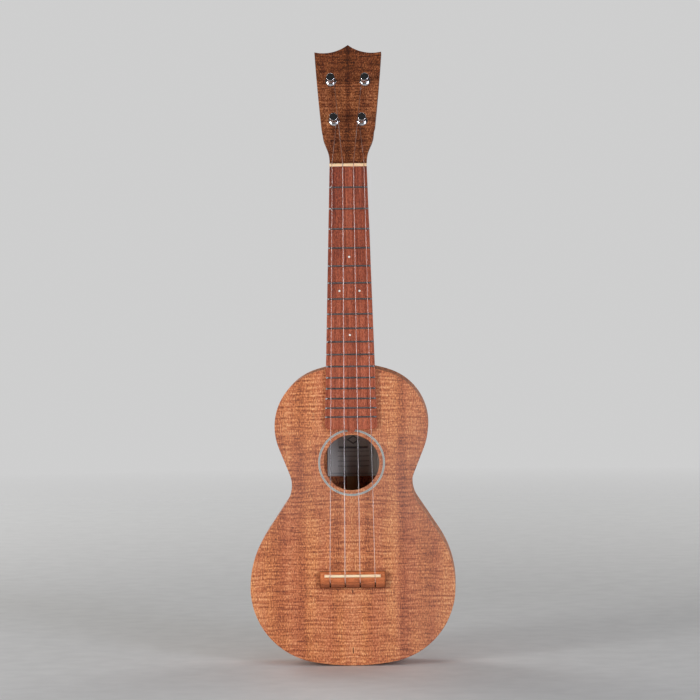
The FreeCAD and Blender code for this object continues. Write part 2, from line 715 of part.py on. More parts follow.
def make_winding(name):
    """Wraps of string round the post's waist, as rings that touch."""
    r = STRING_R[name]
    centre_r = PEG_WAIST_R + r + STRING_CLEAR
    pitch = 1.9 * r
    wraps = [Part.makeTorus(centre_r, r, V(0, 0, wrap_height(name) + i * pitch)) for i in range(WRAP_TURNS)]
    return fuse_all(wraps)


def make_pegs():
    save("peg_bushings", *[on_peg(make_bushing(), n) for n in STRING_NAMES])
    save("peg_collars", *[on_peg(make_collar(), n) for n in STRING_NAMES])
    for name in STRING_NAMES:
        save("peg_post_" + name, on_peg(make_post(name), name))
        save("peg_button_" + name, on_peg(make_button(), name))
        save("peg_screw_" + name, on_peg(make_screw(), name))
        save("peg_washer_" + name, on_peg(make_washer(), name))
        save("winding_" + name, on_peg(make_winding(name), name))


# ---------------------------------------------------------------- fingerboard and fittings
def fret_z(n):
    return -SCALE * (1 - 2 ** (-n / 12))


def make_fret(n):
    z = fret_z(n)
    reach = board_half(z) - 0.15
    a = FRET_CROWN_W / 2
    b = FRET_TANG_W / 2

    def at(dz, height):
        return V(-reach, -FB_T - height, z + dz)

    crown = Part.Arc(at(-a, 0), at(0, FRET_CROWN_H), at(a, 0)).toShape()
    rest = [at(a, 0), at(b, 0), at(b, -FRET_TANG_H), at(-b, -FRET_TANG_H), at(-b, 0), at(-a, 0)]
    edges = [crown] + [line(p, q) for p, q in zip(rest, rest[1:])]
    bar = Part.Face(Part.Wire(edges)).extrude(V(2 * reach, 0, 0))
    top_y = -FB_T - FRET_CROWN_H - 0.1
    shoulder = reach - FRET_BEVEL
    roof = [(-reach, 0), (-reach, -FB_T), (-shoulder, top_y), (shoulder, top_y), (reach, -FB_T), (reach, 0)]
    corners = [V(x, y, z - 2) for x, y in roof]
    return bar.common(Part.Face(Part.makePolygon(corners + corners[:1])).extrude(V(0, 0, 4)))


def dot_places():
    def middle(n):
        return (fret_z(n) + fret_z(n - 1)) / 2

    return [(0, middle(5)), (-DOT_PAIR / 2, middle(7)), (DOT_PAIR / 2, middle(7)), (0, middle(10))]


def make_fingerboard():
    nut_end = board_half(NUT_FRONT_Z)
    end = board_half(FB_END_Z)
    side_end = (end - 0.05, FB_END_Z + FB_CORNER_R)
    bend = FB_CORNER_R * (1 - math.sqrt(0.5))
    half = [
        line(front_point(0, NUT_FRONT_Z), front_point(nut_end, NUT_FRONT_Z)),
        line(front_point(nut_end, NUT_FRONT_Z), front_point(*side_end)),
        Part.Arc(front_point(*side_end), front_point(side_end[0] - bend, FB_END_Z + bend),
                 front_point(side_end[0] - FB_CORNER_R, FB_END_Z)).toShape(),
        line(front_point(side_end[0] - FB_CORNER_R, FB_END_Z), front_point(FB_POINT_HALF, FB_END_Z)),
        Part.Arc(front_point(FB_POINT_HALF, FB_END_Z),
                 front_point(FB_POINT_HALF * 0.60, FB_END_Z - FB_POINT * 0.58),
                 front_point(0, FB_END_Z - FB_POINT)).toShape(),
    ]
    board = prism(half + mirrored(half), -FB_T, 0)
    long_edges = [e for e in board.Edges if e.BoundBox.YMax < -FB_T + 0.01 and e.BoundBox.ZLength > 100]
    board = board.makeFillet(FB_EDGE_R, long_edges)
    slots = []
    for n in range(1, FRET_COUNT + 1):
        b = FRET_TANG_W / 2
        slots.append(box(-40, 40, -FB_T - 1, -FB_T + FRET_TANG_H, fret_z(n) - b, fret_z(n) + b))
    dots = [Part.makeCylinder(DOT_R, DOT_T, V(x, -FB_T, z), V(0, 1, 0)) for x, z in dot_places()]
    board = cut_all(board, slots + dots)
    save("fingerboard", *board.Solids)
    save("frets", *[make_fret(n) for n in range(1, FRET_COUNT + 1)])
    save("position_dots", *dots)


def make_nut():
    nut = box(-FB_HALF_NUT, FB_HALF_NUT, -NUT_H, 0, NUT_FRONT_Z, NUT_TOP_Z)
    front_edges = [e for e in nut.Edges if e.BoundBox.YMax < -NUT_H + 0.01]
    rounded = [e for e in front_edges if e.BoundBox.ZMin > NUT_TOP_Z - 0.01]
    nut = nut.makeFillet(1.2, rounded)
    slots = []
    for name in STRING_NAMES:
        r = STRING_R[name] + STRING_CLEAR
        x = STRING_NUT_X[name]
        floor_y = -NUT_SLOT_FLOOR - r
        slots.append(Part.makeCylinder(r, NUT_T + 2, V(x, floor_y, NUT_FRONT_Z - 1), V(0, 0, 1)))
        slots.append(box(x - r, x + r, -NUT_H - 1, floor_y, NUT_FRONT_Z - 1, NUT_TOP_Z + 1))
    save("nut", cut_all(nut, slots))


def make_saddle():
    low = -(BRIDGE_T - SADDLE_SEAT)
    r = SADDLE_T / 2
    crown_y = -(SADDLE_TOP - r)

    def at(dz, y):
        return V(-SADDLE_HALF, y, SADDLE_Z + dz)

    edges = [
        line(at(-r, low), at(-r, crown_y)),
        Part.Arc(at(-r, crown_y), at(0, -SADDLE_TOP), at(r, crown_y)).toShape(),
        line(at(r, crown_y), at(r, low)),
        line(at(r, low), at(-r, low)),
    ]
    save("saddle", Part.Face(Part.Wire(edges)).extrude(V(2 * SADDLE_HALF, 0, 0)))


def make_bridge():
    bridge = box(-BRIDGE_HALF, BRIDGE_HALF, -BRIDGE_T, 0, BRIDGE_REAR_Z, BRIDGE_FRONT_Z)
    top_edges = [e for e in bridge.Edges if e.BoundBox.YMax < -BRIDGE_T + 0.01]
    bridge = bridge.makeChamfer(BRIDGE_BEVEL, top_edges)
    seat = SADDLE_T / 2
    cuts = [box(-SADDLE_HALF, SADDLE_HALF, -FAR, -(BRIDGE_T - SADDLE_SEAT), SADDLE_Z - seat, SADDLE_Z + seat)]
    for name in STRING_NAMES:
        x = STRING_BRIDGE_X[name]
        cuts.append(box(x - SLOT_W / 2, x + SLOT_W / 2, -FAR, POCKET_Y, BRIDGE_REAR_Z - 1,
                        BRIDGE_REAR_Z + SLOT_L))
        cuts.append(Part.makeCylinder(POCKET_R, POCKET_L + 1, V(x, POCKET_Y, BRIDGE_REAR_Z - 1), V(0, 0, 1)))
    save("bridge", cut_all(bridge, cuts))


# ---------------------------------------------------------------- strings
def rounded_route(points, radii):
    """Wire of straight runs joined by tangent arcs."""
    edges = []
    start = points[0]
    for before, corner, after, radius in zip(points, points[1:], points[2:], radii):
        u = (before - corner).normalize()
        v = (after - corner).normalize()
        half_angle = math.acos(max(-1.0, min(1.0, u.dot(v)))) / 2
        trim = radius / math.tan(half_angle)
        bisector = (u + v).normalize()
        centre = corner + bisector * (radius / math.sin(half_angle))
        p = corner + u * trim
        q = corner + v * trim
        middle = centre - bisector * radius
        edges.append(line(start, p))
        edges.append(Part.Arc(p, middle, q).toShape())
        start = q
    edges.append(line(start, points[-1]))
    return Part.Wire(edges)


def run_end(name):
    """End of a string's run, just before the wraps that it is tangent to, as (x, s) on the head."""
    r = STRING_R[name]
    centre_r = PEG_WAIST_R + r + STRING_CLEAR
    x_nut = STRING_NUT_X[name]
    across = PEG_X[name] - x_nut
    gap = math.hypot(across, PEG_S[name])
    inner = 1 if PEG_X[name] < 0 else -1
    heading = math.atan2(across, PEG_S[name]) + inner * math.asin(centre_r / gap)
    reach = math.sqrt(gap ** 2 - centre_r ** 2)
    stop = reach - math.sqrt((centre_r + 2 * r + WRAP_GAP) ** 2 - centre_r ** 2)
    return x_nut + stop * math.sin(heading), stop * math.cos(heading)


KNOT_R = 1.25
KNOT_DEPTH = 3.4
STRING_BENDS = (1.3, 2.0, 1.5)
WRAP_GAP = 0.08
BEND_LIFT = 0.09


def make_string(name):
    """Tube from the knot in the bridge over the saddle and the nut to the peg."""
    r = STRING_R[name]
    x_bridge = STRING_BRIDGE_X[name]
    end_x, end_s = run_end(name)
    knot = V(x_bridge, POCKET_Y, BRIDGE_REAR_Z + KNOT_DEPTH)
    points = [
        knot,
        V(x_bridge, -BRIDGE_T - 0.1, BRIDGE_REAR_Z + SLOT_L - r - 0.1),
        V(x_bridge, -(SADDLE_TOP + r + BEND_LIFT), SADDLE_Z),
        V(STRING_NUT_X[name], -(NUT_SLOT_FLOOR + r + STRING_CLEAR), NUT_TOP_Z + 0.15),
        head_point(end_x, end_s, PLATE_T + wrap_height(name)),
    ]
    route = rounded_route(points, STRING_BENDS)
    first = route.OrderedEdges[0]
    start = first.FirstParameter
    section = Part.Wire(Part.makeCircle(r, first.valueAt(start), first.tangentAt(start)))
    tube = route.makePipeShell([section], True, True)
    save("string_" + name, tube.fuse(Part.makeSphere(KNOT_R, knot)))


make_soundbox()
make_braces()
make_neck()
make_pegs()
make_fingerboard()
make_nut()
make_saddle()
make_bridge()
for string_name in STRING_NAMES:
    make_string(string_name)
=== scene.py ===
import json
import math

import bmesh
import bpy
from mathutils import Matrix, Vector


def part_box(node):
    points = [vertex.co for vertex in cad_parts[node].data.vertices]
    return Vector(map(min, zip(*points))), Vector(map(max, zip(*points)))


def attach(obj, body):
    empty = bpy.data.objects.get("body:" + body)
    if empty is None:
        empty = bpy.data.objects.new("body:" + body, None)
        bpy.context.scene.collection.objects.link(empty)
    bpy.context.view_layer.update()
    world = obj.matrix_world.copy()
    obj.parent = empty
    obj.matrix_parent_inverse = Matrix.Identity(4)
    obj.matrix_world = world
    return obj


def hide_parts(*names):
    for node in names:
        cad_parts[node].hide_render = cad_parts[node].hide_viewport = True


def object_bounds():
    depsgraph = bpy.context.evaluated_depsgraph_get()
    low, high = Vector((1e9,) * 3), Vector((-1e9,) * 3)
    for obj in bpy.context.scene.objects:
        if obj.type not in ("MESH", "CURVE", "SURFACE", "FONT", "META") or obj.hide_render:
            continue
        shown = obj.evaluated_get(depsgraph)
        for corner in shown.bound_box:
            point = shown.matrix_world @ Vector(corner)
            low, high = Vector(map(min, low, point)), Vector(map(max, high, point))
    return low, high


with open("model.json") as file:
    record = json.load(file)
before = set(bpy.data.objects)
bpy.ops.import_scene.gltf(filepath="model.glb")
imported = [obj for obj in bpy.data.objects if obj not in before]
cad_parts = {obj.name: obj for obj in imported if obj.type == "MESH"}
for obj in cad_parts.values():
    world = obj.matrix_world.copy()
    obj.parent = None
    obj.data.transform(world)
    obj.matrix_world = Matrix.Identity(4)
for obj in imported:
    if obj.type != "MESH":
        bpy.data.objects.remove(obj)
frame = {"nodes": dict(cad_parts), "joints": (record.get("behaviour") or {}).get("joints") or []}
cad_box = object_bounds()
nodes = frame["nodes"]
MM = 0.001


# ------------------------------------------------------------------ dimensions, in mm
board_low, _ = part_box("fingerboard")
BOARD_T = -board_low.y / MM
SCALE = 381.0
FRETS = 17
CROWN_HALF = 0.85
CROWN_H = 0.85

bridge_low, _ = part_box("bridge")
BRIDGE_TOP_Y = bridge_low.y / MM
BRIDGE_REAR_Z = bridge_low.z / MM
BRIDGE_SLOT_L = 5.5
POCKET_Y = -2.3
KNOT_DEPTH = 3.4

saddle_low, saddle_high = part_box("saddle")
SADDLE_Z = (saddle_low.z + saddle_high.z) / 2 / MM
SADDLE_TOP_Y = -10.6
_, nut_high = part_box("nut")
NUT_TOP_Z = nut_high.z / MM
NUT_FLOOR = 6.2

# Each string's radius, its places across the bridge and the nut, and its gaps to what it lies on.
LETTERS = "gcea"
STRING_R = {"g": 0.305, "c": 0.43, "e": 0.33, "a": 0.265}
BRIDGE_X = {"g": -21.3, "c": -7.1, "e": 7.1, "a": 21.3}
NUT_X = {"g": -15.0, "c": -5.1, "e": 5.1, "a": 15.0}
CLEAR = 0.03
SADDLE_CLEAR = 0.09
SLOT_CLEAR = 0.1
NUT_BEND = 0.15

# The head's tilt, and each peg's turn at rest in degrees. A peg's heights go from the headplate's face.
TILT = math.radians(15.0)
PEG_TURN = {"g": 24.0, "c": -16.0, "e": 12.0, "a": -30.0}
PLATE_T = 1.8
PEG_TOP = 15.0
EYE_Z = 7.4
COLLAR_Z = -12.8
BUTTON_TOP = -17.2
SHANK_L = 9.0
SLEEVE_L = 5.0
CAP_R = 3.85
WAIST_R = 2.5
EYE_R = 0.65
SHAFT_R = 3.0
BORE_R = 3.05
SLEEVE_R = 3.9
SHANK_R = 2.4


# ------------------------------------------------------------------ shader helpers
def tint(red, green, blue):
    """Linear colour of a display colour given from 0 to 255."""
    values = [v / 255 for v in (red, green, blue)]
    return tuple(v / 12.92 if v <= 0.04045 else ((v + 0.055) / 1.055) ** 2.4 for v in values) + (1.0,)


class Shader:
    """One material's node tree, with short calls for the nodes that it uses."""

    def __init__(self, name):
        self.material = bpy.data.materials.new(name)
        self.material.use_nodes = True
        self.tree = self.material.node_tree
        self.surface = self.tree.nodes["Principled BSDF"]
        self.place = self.tree.nodes.new("ShaderNodeTexCoord").outputs["Object"]

    def put(self, socket, value):
        """Gives a socket a number or a colour, or links another node's output to it."""
        if isinstance(value, bpy.types.NodeSocket):
            self.tree.links.new(value, socket)
        else:
            socket.default_value = value

    def calc(self, operation, *values):
        node = self.tree.nodes.new("ShaderNodeMath")
        node.operation = operation
        for socket, value in zip(node.inputs, values):
            self.put(socket, value)
        return node.outputs[0]

    def vector(self, operation, a, b):
        node = self.tree.nodes.new("ShaderNodeVectorMath")
        node.operation = operation
        self.put(node.inputs[0], a)
        self.put(node.inputs[1], b)
        return node.outputs[0]

    def split(self, vector):
        node = self.tree.nodes.new("ShaderNodeSeparateXYZ")
        self.put(node.inputs[0], vector)
        return node.outputs[0], node.outputs[1], node.outputs[2]

    def join(self, x, y, z):
        node = self.tree.nodes.new("ShaderNodeCombineXYZ")
        for socket, value in zip(node.inputs, (x, y, z)):
            self.put(socket, value)
        return node.outputs[0]

    def noise(self, vector, detail=2.0, rough=0.5, scale=1.0):
        node = self.tree.nodes.new("ShaderNodeTexNoise")
        self.put(node.inputs["Vector"], vector)
        node.inputs["Scale"].default_value = scale
        node.inputs["Detail"].default_value = detail
        node.inputs["Roughness"].default_value = rough
        return node.outputs["Fac"]

    def range(self, value, low, high, to_low=0.0, to_high=1.0):
        """The value from low to high, clamped, on a scale from to_low to to_high."""
        node = self.tree.nodes.new("ShaderNodeMapRange")
        for socket, number in zip(node.inputs, (value, low, high, to_low, to_high)):
            self.put(socket, number)
        return node.outputs[0]

    def ramp(self, factor, stops):
        """The colour, or the grey number, at the factor's place between the stops."""
        node = self.tree.nodes.new("ShaderNodeValToRGB")
        self.put(node.inputs[0], factor)
        marks = node.color_ramp.elements
        while len(marks) < len(stops):
            marks.new(0.5)
        for mark, (position, colour) in zip(marks, stops):
            mark.position = position
            mark.color = colour if isinstance(colour, tuple) else (colour, colour, colour, 1.0)
        return node.outputs[0]

    def mix(self, factor, a, b):
        node = self.tree.nodes.new("ShaderNodeMix")
        node.data_type = "RGBA"
        self.put(node.inputs[0], factor)
        self.put(node.inputs[6], a)
        self.put(node.inputs[7], b)
        return node.outputs[2]

    def bump(self, height, depth, strength=1.0):
        node = self.tree.nodes.new("ShaderNodeBump")
        node.inputs["Strength"].default_value = strength
        node.inputs["Distance"].default_value = depth
        self.put(node.inputs["Height"], height)
        self.put(self.surface.inputs["Normal"], node.outputs[0])

    def finish(self, colour, rough, **sockets):
        """The material, with sockets' names written with underscores for spaces."""
        self.put(self.surface.inputs["Base Color"], colour)
        self.put(self.surface.inputs["Roughness"], rough)
        for name, value in sockets.items():
            self.surface.inputs[name.replace("_", " ")].default_value = value
        return self.material


# ------------------------------------------------------------------ wood
# A grain is two rates, across it and along it, in noise cells per metre.
BROAD = (60, 3.0)
FIBRES = (650, 14)
GRIT = (1500, 500)
LENGTHWISE = {"z": (0, 0, 1), "x": (1, 0, 0), "rim": (1, 0, 1)}
SLOW_WANDER = 14.0
QUICK_WANDER = 75.0
# A dark tone for painted shade: on lower sides, as a contact shadow at the foot, and in slots.
PAINTED_SHADE = tint(34, 18, 13)
SHADE_RAMP_H = 0.7 * MM
CONTACT_SHADE = (-1.4 * MM, -0.6 * MM)


def stretched(s, place, along, grain):
    """The place squeezed one way, so that noise on it runs in lines."""
    across_rate, along_rate = grain
    rates = tuple(along_rate if flag else across_rate for flag in LENGTHWISE[along])
    return s.vector("MULTIPLY", place, rates)


def wandering(s, place, rate, reach):
    """The place moved a little by slow noise, so that lines on it aren't straight."""
    drift = s.calc("MULTIPLY", s.calc("SUBTRACT", s.noise(place, 1.0, 0.5, rate), 0.5), reach)
    return s.vector("ADD", place, s.join(s.calc("MULTIPLY", drift, 0.4), drift, drift))


def centred(s, value, gain=1.0):
    """A number from 0 to 1 as one about zero, with its spread changed by the gain."""
    return s.calc("MULTIPLY", s.calc("SUBTRACT", value, 0.5), gain)


def wood(name, tones, along="z", broad=0.5, streak=0.5, speckle=0.0, pore=0.5, pore_size=(1500, 110),
         rough=0.42, specular=0.25, fade=None, foot=None, slots=None):
    """Straight-grained wood. Painted shade: fade along z, foot on the lower sides, slots in its slots."""
    s = Shader(name)
    x, y, z = s.split(s.place)
    place = wandering(s, s.place, SLOW_WANDER, 0.010)
    value = s.calc("ADD", centred(s, s.noise(stretched(s, place, along, BROAD), 2.0), broad), 0.5)
    fine = s.noise(stretched(s, place, along, FIBRES), 4.0, 0.62)
    value = s.calc("ADD", value, centred(s, fine, streak))
    if speckle:
        grit = s.noise(stretched(s, place, along, GRIT), 2.0, 0.6)
        value = s.calc("ADD", value, centred(s, grit, speckle))
    if fade:
        value = s.calc("ADD", value, s.range(z, *fade))
    vessel = s.range(s.noise(stretched(s, place, along, pore_size), 1.0), 0.60, 0.70)
    colour = s.mix(s.calc("MULTIPLY", vessel, pore), s.ramp(value, tones), tones[0][1])
    # Painted shade on the sides below the foot's height, and a painted contact shadow at the bottom.
    if foot:
        colour = s.mix(s.range(y, -foot - SHADE_RAMP_H, -foot, 0.0, 0.5), colour, PAINTED_SHADE)
        colour = s.mix(s.range(y, *CONTACT_SHADE, 0.0, 0.8), colour, PAINTED_SHADE)
    # Painted shade in the slots.
    if slots:
        colour = s.mix(slot_mask(s, x, y, z, *slots), colour, PAINTED_SHADE)
    relief = s.calc("SUBTRACT", s.calc("MULTIPLY", fine, 0.35), s.calc("MULTIPLY", vessel, 0.6))
    s.bump(relief, 0.12 * MM, 0.6)
    dull = s.range(fine, 0.3, 0.7, rough + 0.08, rough - 0.06)
    return s.finish(colour, dull, Specular_IOR_Level=specular)


def slot_mask(s, x, y, z, half, face, low, high):
    """One inside the bridge's string slots, for painted shade, from their half width, front and ends."""
    near = None
    for middle in BRIDGE_X.values():
        reach = s.calc("LESS_THAN", s.calc("ABSOLUTE", s.calc("SUBTRACT", x, middle * MM)), half)
        near = reach if near is None else s.calc("MAXIMUM", near, reach)
    inside = s.calc("MULTIPLY", s.calc("GREATER_THAN", y, face), s.calc("LESS_THAN", z, high))
    return s.calc("MULTIPLY", near, s.calc("MULTIPLY", inside, s.calc("GREATER_THAN", z, low)))


SEAM_X = -0.3 * MM
FLECK_HALF = (0.2 * MM, 0.6 * MM)


def seam_marks(s, x, z, marks):
    """Dark flecks on the centre seam, each from its middle and half length."""
    total = None
    for middle, half in marks:
        reach = s.range(s.calc("ABSOLUTE", s.calc("SUBTRACT", z, middle)), half * 0.7, half, 1.0, 0.0)
        total = reach if total is None else s.calc("MAXIMUM", total, reach)
    across = s.calc("ABSOLUTE", s.calc("SUBTRACT", x, SEAM_X))
    return s.calc("MULTIPLY", total, s.range(across, *FLECK_HALF, 1.0, 0.0))


# Grains of the koa: its broad stripes, fibres, short ticks, cross lines and their breaks, vessels, and
# the patches where the ripple and the hue change.
KOA_BROAD = (75, 3.5)
KOA_FIBRES = (620, 16)
KOA_TICKS = (950, 400)
KOA_LINES = (44, 600)
KOA_BREAKS = (260, 150)
KOA_VESSELS = (1500, 120)
KOA_PATCHES = (30, 12)
KOA_HUES = (90, 6.0)
# The tone of the painted cool sheen.
SHEEN_TONE = tint(152, 116, 104)
FLECK = tint(40, 22, 16)


def figured(name, yellow, red, along="z", book=True, bands=None, shift=0.0, lines=0.15, curl=0.065,
            grain=0.28, ticks=1.15, period=4.0 * MM, finer=1.0, specular=0.2, fade=None, painted_sheen=None,
            marks=()):
    """Curly koa: even ripples and fine dark lines across the grain, over short streaks along it.

    With book, one half mirrors the other. Bands go by the distance from the seam in units of 100 mm.
    Fade and the painted sheen hold a range of z and a ramp over it: of tone, and of a painted cool sheen,
    which also has a range of x.
    """
    s = Shader(name)
    x, y, z = s.split(s.place)
    fold = s.calc("ABSOLUTE", x) if book else x
    place = s.join(s.calc("MULTIPLY_ADD", x, 0.06, fold), y, s.calc("ADD", z, shift))
    place = wandering(s, place, SLOW_WANDER, 0.009)
    place = wandering(s, place, QUICK_WANDER, 0.0022)
    place = s.vector("MULTIPLY", place, (finer, finer, finer))
    grit_place = s.vector("MULTIPLY", s.place, (finer, finer, finer))

    broad = s.noise(stretched(s, place, along, KOA_BROAD), 2.0)
    value = s.calc("ADD", centred(s, broad, 0.24), 0.5)
    if bands:
        value = s.calc("ADD", value, centred(s, s.ramp(s.calc("MULTIPLY", fold, 10.0), bands)))
    if fade:
        ends, tones = fade
        value = s.calc("ADD", value, centred(s, s.ramp(s.range(z, *ends), tones)))
    long_grain = s.noise(stretched(s, place, along, KOA_FIBRES), 3.0, 0.6)
    value = s.calc("ADD", value, centred(s, long_grain, grain))
    short = s.noise(stretched(s, grit_place, along, KOA_TICKS), 2.0, 0.7)
    value = s.calc("ADD", value, centred(s, short, ticks))

    across, _, lengthwise = s.split(place)
    if along == "rim":
        lengthwise = s.calc("MULTIPLY_ADD", across, 0.8, lengthwise)
    ripple = s.calc("SINE", s.calc("MULTIPLY", lengthwise, 2 * math.pi / period))
    patches = s.noise(stretched(s, place, along, KOA_PATCHES), 1.0)
    value = s.calc("MULTIPLY_ADD", ripple, s.range(patches, 0.35, 0.65, 0.15 * curl, curl), value)
    line = s.noise(stretched(s, place, along, KOA_LINES), 1.5, 0.5)
    value = s.calc("ADD", value, centred(s, line, lines * 2.2))
    breaks = s.noise(stretched(s, grit_place, along, KOA_BREAKS), 2.0, 0.6)
    breaks = s.range(breaks, 0.36, 0.60, 0.25, 1.0)
    dark_line = s.calc("MULTIPLY", s.range(line, 0.40, 0.52, 1.0, 0.0), breaks)
    value = s.calc("SUBTRACT", value, s.calc("MULTIPLY", dark_line, lines))
    value = s.calc("ADD", value, lines * 0.22)

    hue = s.range(s.noise(stretched(s, place, along, KOA_HUES), 2.0), 0.36, 0.62)
    colour = s.mix(hue, s.ramp(value, red), s.ramp(value, yellow))
    vessel = s.range(s.noise(stretched(s, place, along, KOA_VESSELS), 1.0), 0.61, 0.70)
    colour = s.mix(s.calc("MULTIPLY", vessel, 0.4), colour, red[0][1])
    # Painted cool sheen, by x and along z.
    if painted_sheen:
        sideways, ends, amounts = painted_sheen
        sheen_mix = s.calc("ADD", s.range(x, *sideways), s.ramp(s.range(z, *ends), amounts))
        colour = s.mix(sheen_mix, colour, SHEEN_TONE)
    if marks:
        colour = s.mix(seam_marks(s, x, z, marks), colour, FLECK)
    relief = s.calc("SUBTRACT", s.calc("MULTIPLY", short, 0.35), s.calc("MULTIPLY", vessel, 0.6))
    s.bump(relief, 0.10 * MM, 0.5)
    dull = s.range(short, 0.3, 0.7, 0.50, 0.38)
    return s.finish(colour, dull, Specular_IOR_Level=specular)


KOA_YELLOW = [
    (0.0, tint(84, 45, 33)), (0.28, tint(146, 80, 52)), (0.5, tint(201, 119, 72)),
    (0.72, tint(230, 162, 107)), (1.0, tint(255, 214, 158)),
]
KOA_RED = [
    (0.0, tint(76, 39, 31)), (0.28, tint(139, 74, 50)), (0.5, tint(191, 108, 69)),
    (0.72, tint(219, 147, 101)), (1.0, tint(248, 196, 144)),
]
KOA_BANDS = [
    (0.0, 0.58), (0.07, 0.57), (0.13, 0.47), (0.19, 0.47), (0.27, 0.52), (0.36, 0.55),
    (0.42, 0.50), (0.455, 0.39), (0.485, 0.36), (0.52, 0.44), (0.60, 0.51), (0.69, 0.41),
    (0.75, 0.42), (0.80, 0.48), (0.86, 0.54), (0.97, 0.60),
]
BODY_ENDS = (-0.475, -0.19)
# Painted cool sheen: the half on the plus side of x, and the waist, mixed towards a greyer, cooler hue.
KOA_PAINTED_SHEEN = (
    (0.01, 0.07, 0.0, 0.20),
    BODY_ENDS,
    [(0.0, 0.0), (0.35, 0.02), (0.55, 0.19), (0.68, 0.20), (0.85, 0.03), (1.0, 0.0)],
)
TOP_FADE = (
    BODY_ENDS,
    [(0.0, 0.50), (0.40, 0.50), (0.52, 0.49), (0.60, 0.465), (0.68, 0.465), (0.78, 0.51), (0.86, 0.53),
     (1.0, 0.53)],
)
TOP_MARKS = ((-0.4605, 3.2 * MM), (-0.4042, 1.5 * MM))
koa_top = figured("koa_top", KOA_YELLOW, KOA_RED, bands=KOA_BANDS, marks=TOP_MARKS,
                  ticks=1.35, fade=TOP_FADE, painted_sheen=KOA_PAINTED_SHEEN)
koa_back = figured("koa_back", KOA_YELLOW, KOA_RED, bands=KOA_BANDS, shift=1.7)
koa_side = figured("koa_side", KOA_YELLOW, KOA_RED, along="rim", book=False, specular=0.1)
HEAD_YELLOW = [
    (0.0, tint(42, 18, 6)), (0.28, tint(80, 38, 15)), (0.5, tint(128, 67, 33)),
    (0.72, tint(172, 107, 66)), (1.0, tint(228, 160, 110)),
]
HEAD_RED = [
    (0.0, tint(34, 13, 5)), (0.28, tint(66, 29, 12)), (0.5, tint(112, 54, 27)),
    (0.72, tint(152, 91, 57)), (1.0, tint(208, 138, 92)),
]
HEAD_BANDS = [(0.0, 0.40), (0.012, 0.47), (0.04, 0.55), (0.12, 0.54), (0.20, 0.60), (0.30, 0.55)]
# Painted shade: the head darker towards its top end.
HEAD_SHADE_FADE = (
    (0.0, 0.12),
    [(0.0, 0.40), (0.28, 0.40), (0.46, 0.46), (0.60, 0.45), (0.78, 0.34), (1.0, 0.30)],
)
koa_head = figured("koa_head", HEAD_YELLOW, HEAD_RED, bands=HEAD_BANDS, shift=0.4, lines=0.12, ticks=1.5,
                   curl=0.07, finer=1.4, fade=HEAD_SHADE_FADE)
NECK_TONES = [
    (0.0, tint(62, 30, 18)), (0.3, tint(98, 52, 30)), (0.55, tint(126, 70, 42)),
    (0.8, tint(148, 88, 54)), (1.0, tint(170, 106, 68)),
]
neck_wood = wood("neck_wood", NECK_TONES, streak=0.9, pore=0.55, pore_size=(1400, 90), rough=0.58,
                 specular=0.10)
BLOCK_TONES = [(0.0, tint(110, 66, 42)), (0.5, tint(158, 104, 68)), (1.0, tint(190, 138, 96))]
block_wood = wood("block_wood", BLOCK_TONES, broad=0.4, streak=0.7, rough=0.7)
LINING_TONES = [(0.0, tint(120, 80, 48)), (0.5, tint(176, 130, 84)), (1.0, tint(206, 166, 116))]
lining_wood = wood("lining_wood", LINING_TONES, along="rim", broad=0.4, streak=0.6, pore=0.2, rough=0.7)
SPRUCE_TONES = [(0.0, tint(168, 124, 76)), (0.5, tint(212, 176, 122)), (1.0, tint(232, 204, 156))]
spruce_across = wood("spruce_across", SPRUCE_TONES, along="x", broad=0.4, streak=0.9, pore=0.0, rough=0.7)
spruce_along = wood("spruce_along", SPRUCE_TONES, broad=0.4, streak=0.9, pore=0.0, rough=0.7)
BOARD_TONES = [
    (0.0, tint(62, 24, 15)), (0.3, tint(116, 51, 34)), (0.5, tint(153, 76, 51)),
    (0.7, tint(182, 98, 69)), (1.0, tint(220, 138, 102)),
]
# Painted shade: the board's tone darker towards the head.
BOARD_SHADE_FADE = (-0.24, 0.0, 0.08, -0.13)
board_wood = wood("board_wood", BOARD_TONES, broad=0.5, streak=0.8, speckle=0.9, pore=0.5,
                  pore_size=(1600, 260), rough=0.40, fade=BOARD_SHADE_FADE)
BRIDGE_TONES = [
    (0.0, tint(92, 46, 26)), (0.3, tint(148, 78, 44)), (0.5, tint(198, 112, 66)),
    (0.7, tint(224, 136, 84)), (1.0, tint(240, 160, 106)),
]
# Painted shade: the bridge's top brighter by the saddle and darker towards its rear edge.
BRIDGE_SHADE_FADE = (-0.400, -0.392, -0.25, 0.10)
# Painted shade on the bridge's sides below this height, and in its slots below.
BRIDGE_FOOT = 5.7 * MM
SLOT_HALF = 0.62 * MM
SLOT_FACE = (BRIDGE_TOP_Y + 0.08) * MM
SLOT_ENDS = ((BRIDGE_REAR_Z - 1.6) * MM, (BRIDGE_REAR_Z + BRIDGE_SLOT_L) * MM)
bridge_wood = wood("bridge_wood", BRIDGE_TONES, along="x", broad=0.5, streak=0.8, speckle=0.35, pore=0.5,
                   pore_size=(1500, 120), rough=0.42, fade=BRIDGE_SHADE_FADE, foot=BRIDGE_FOOT,
                   slots=(SLOT_HALF, SLOT_FACE, *SLOT_ENDS))


# ------------------------------------------------------------------ other materials
def plain(name, dark, light, scale, rough, depth=0.02 * MM, metal=0.0, spread=0.06, **sockets):
    """A material of one colour with fine mottle, relief and uneven gloss."""
    s = Shader(name)
    mottle = s.noise(s.vector("MULTIPLY", s.place, scale), 3.0, 0.6)
    tone = s.range(mottle, 0.3, 0.7)
    s.bump(mottle, depth, 0.5)
    s.surface.inputs["Metallic"].default_value = metal
    dull = s.range(mottle, 0.3, 0.7, rough - spread, rough + spread)
    return s.finish(s.mix(tone, dark, light), dull, **sockets)


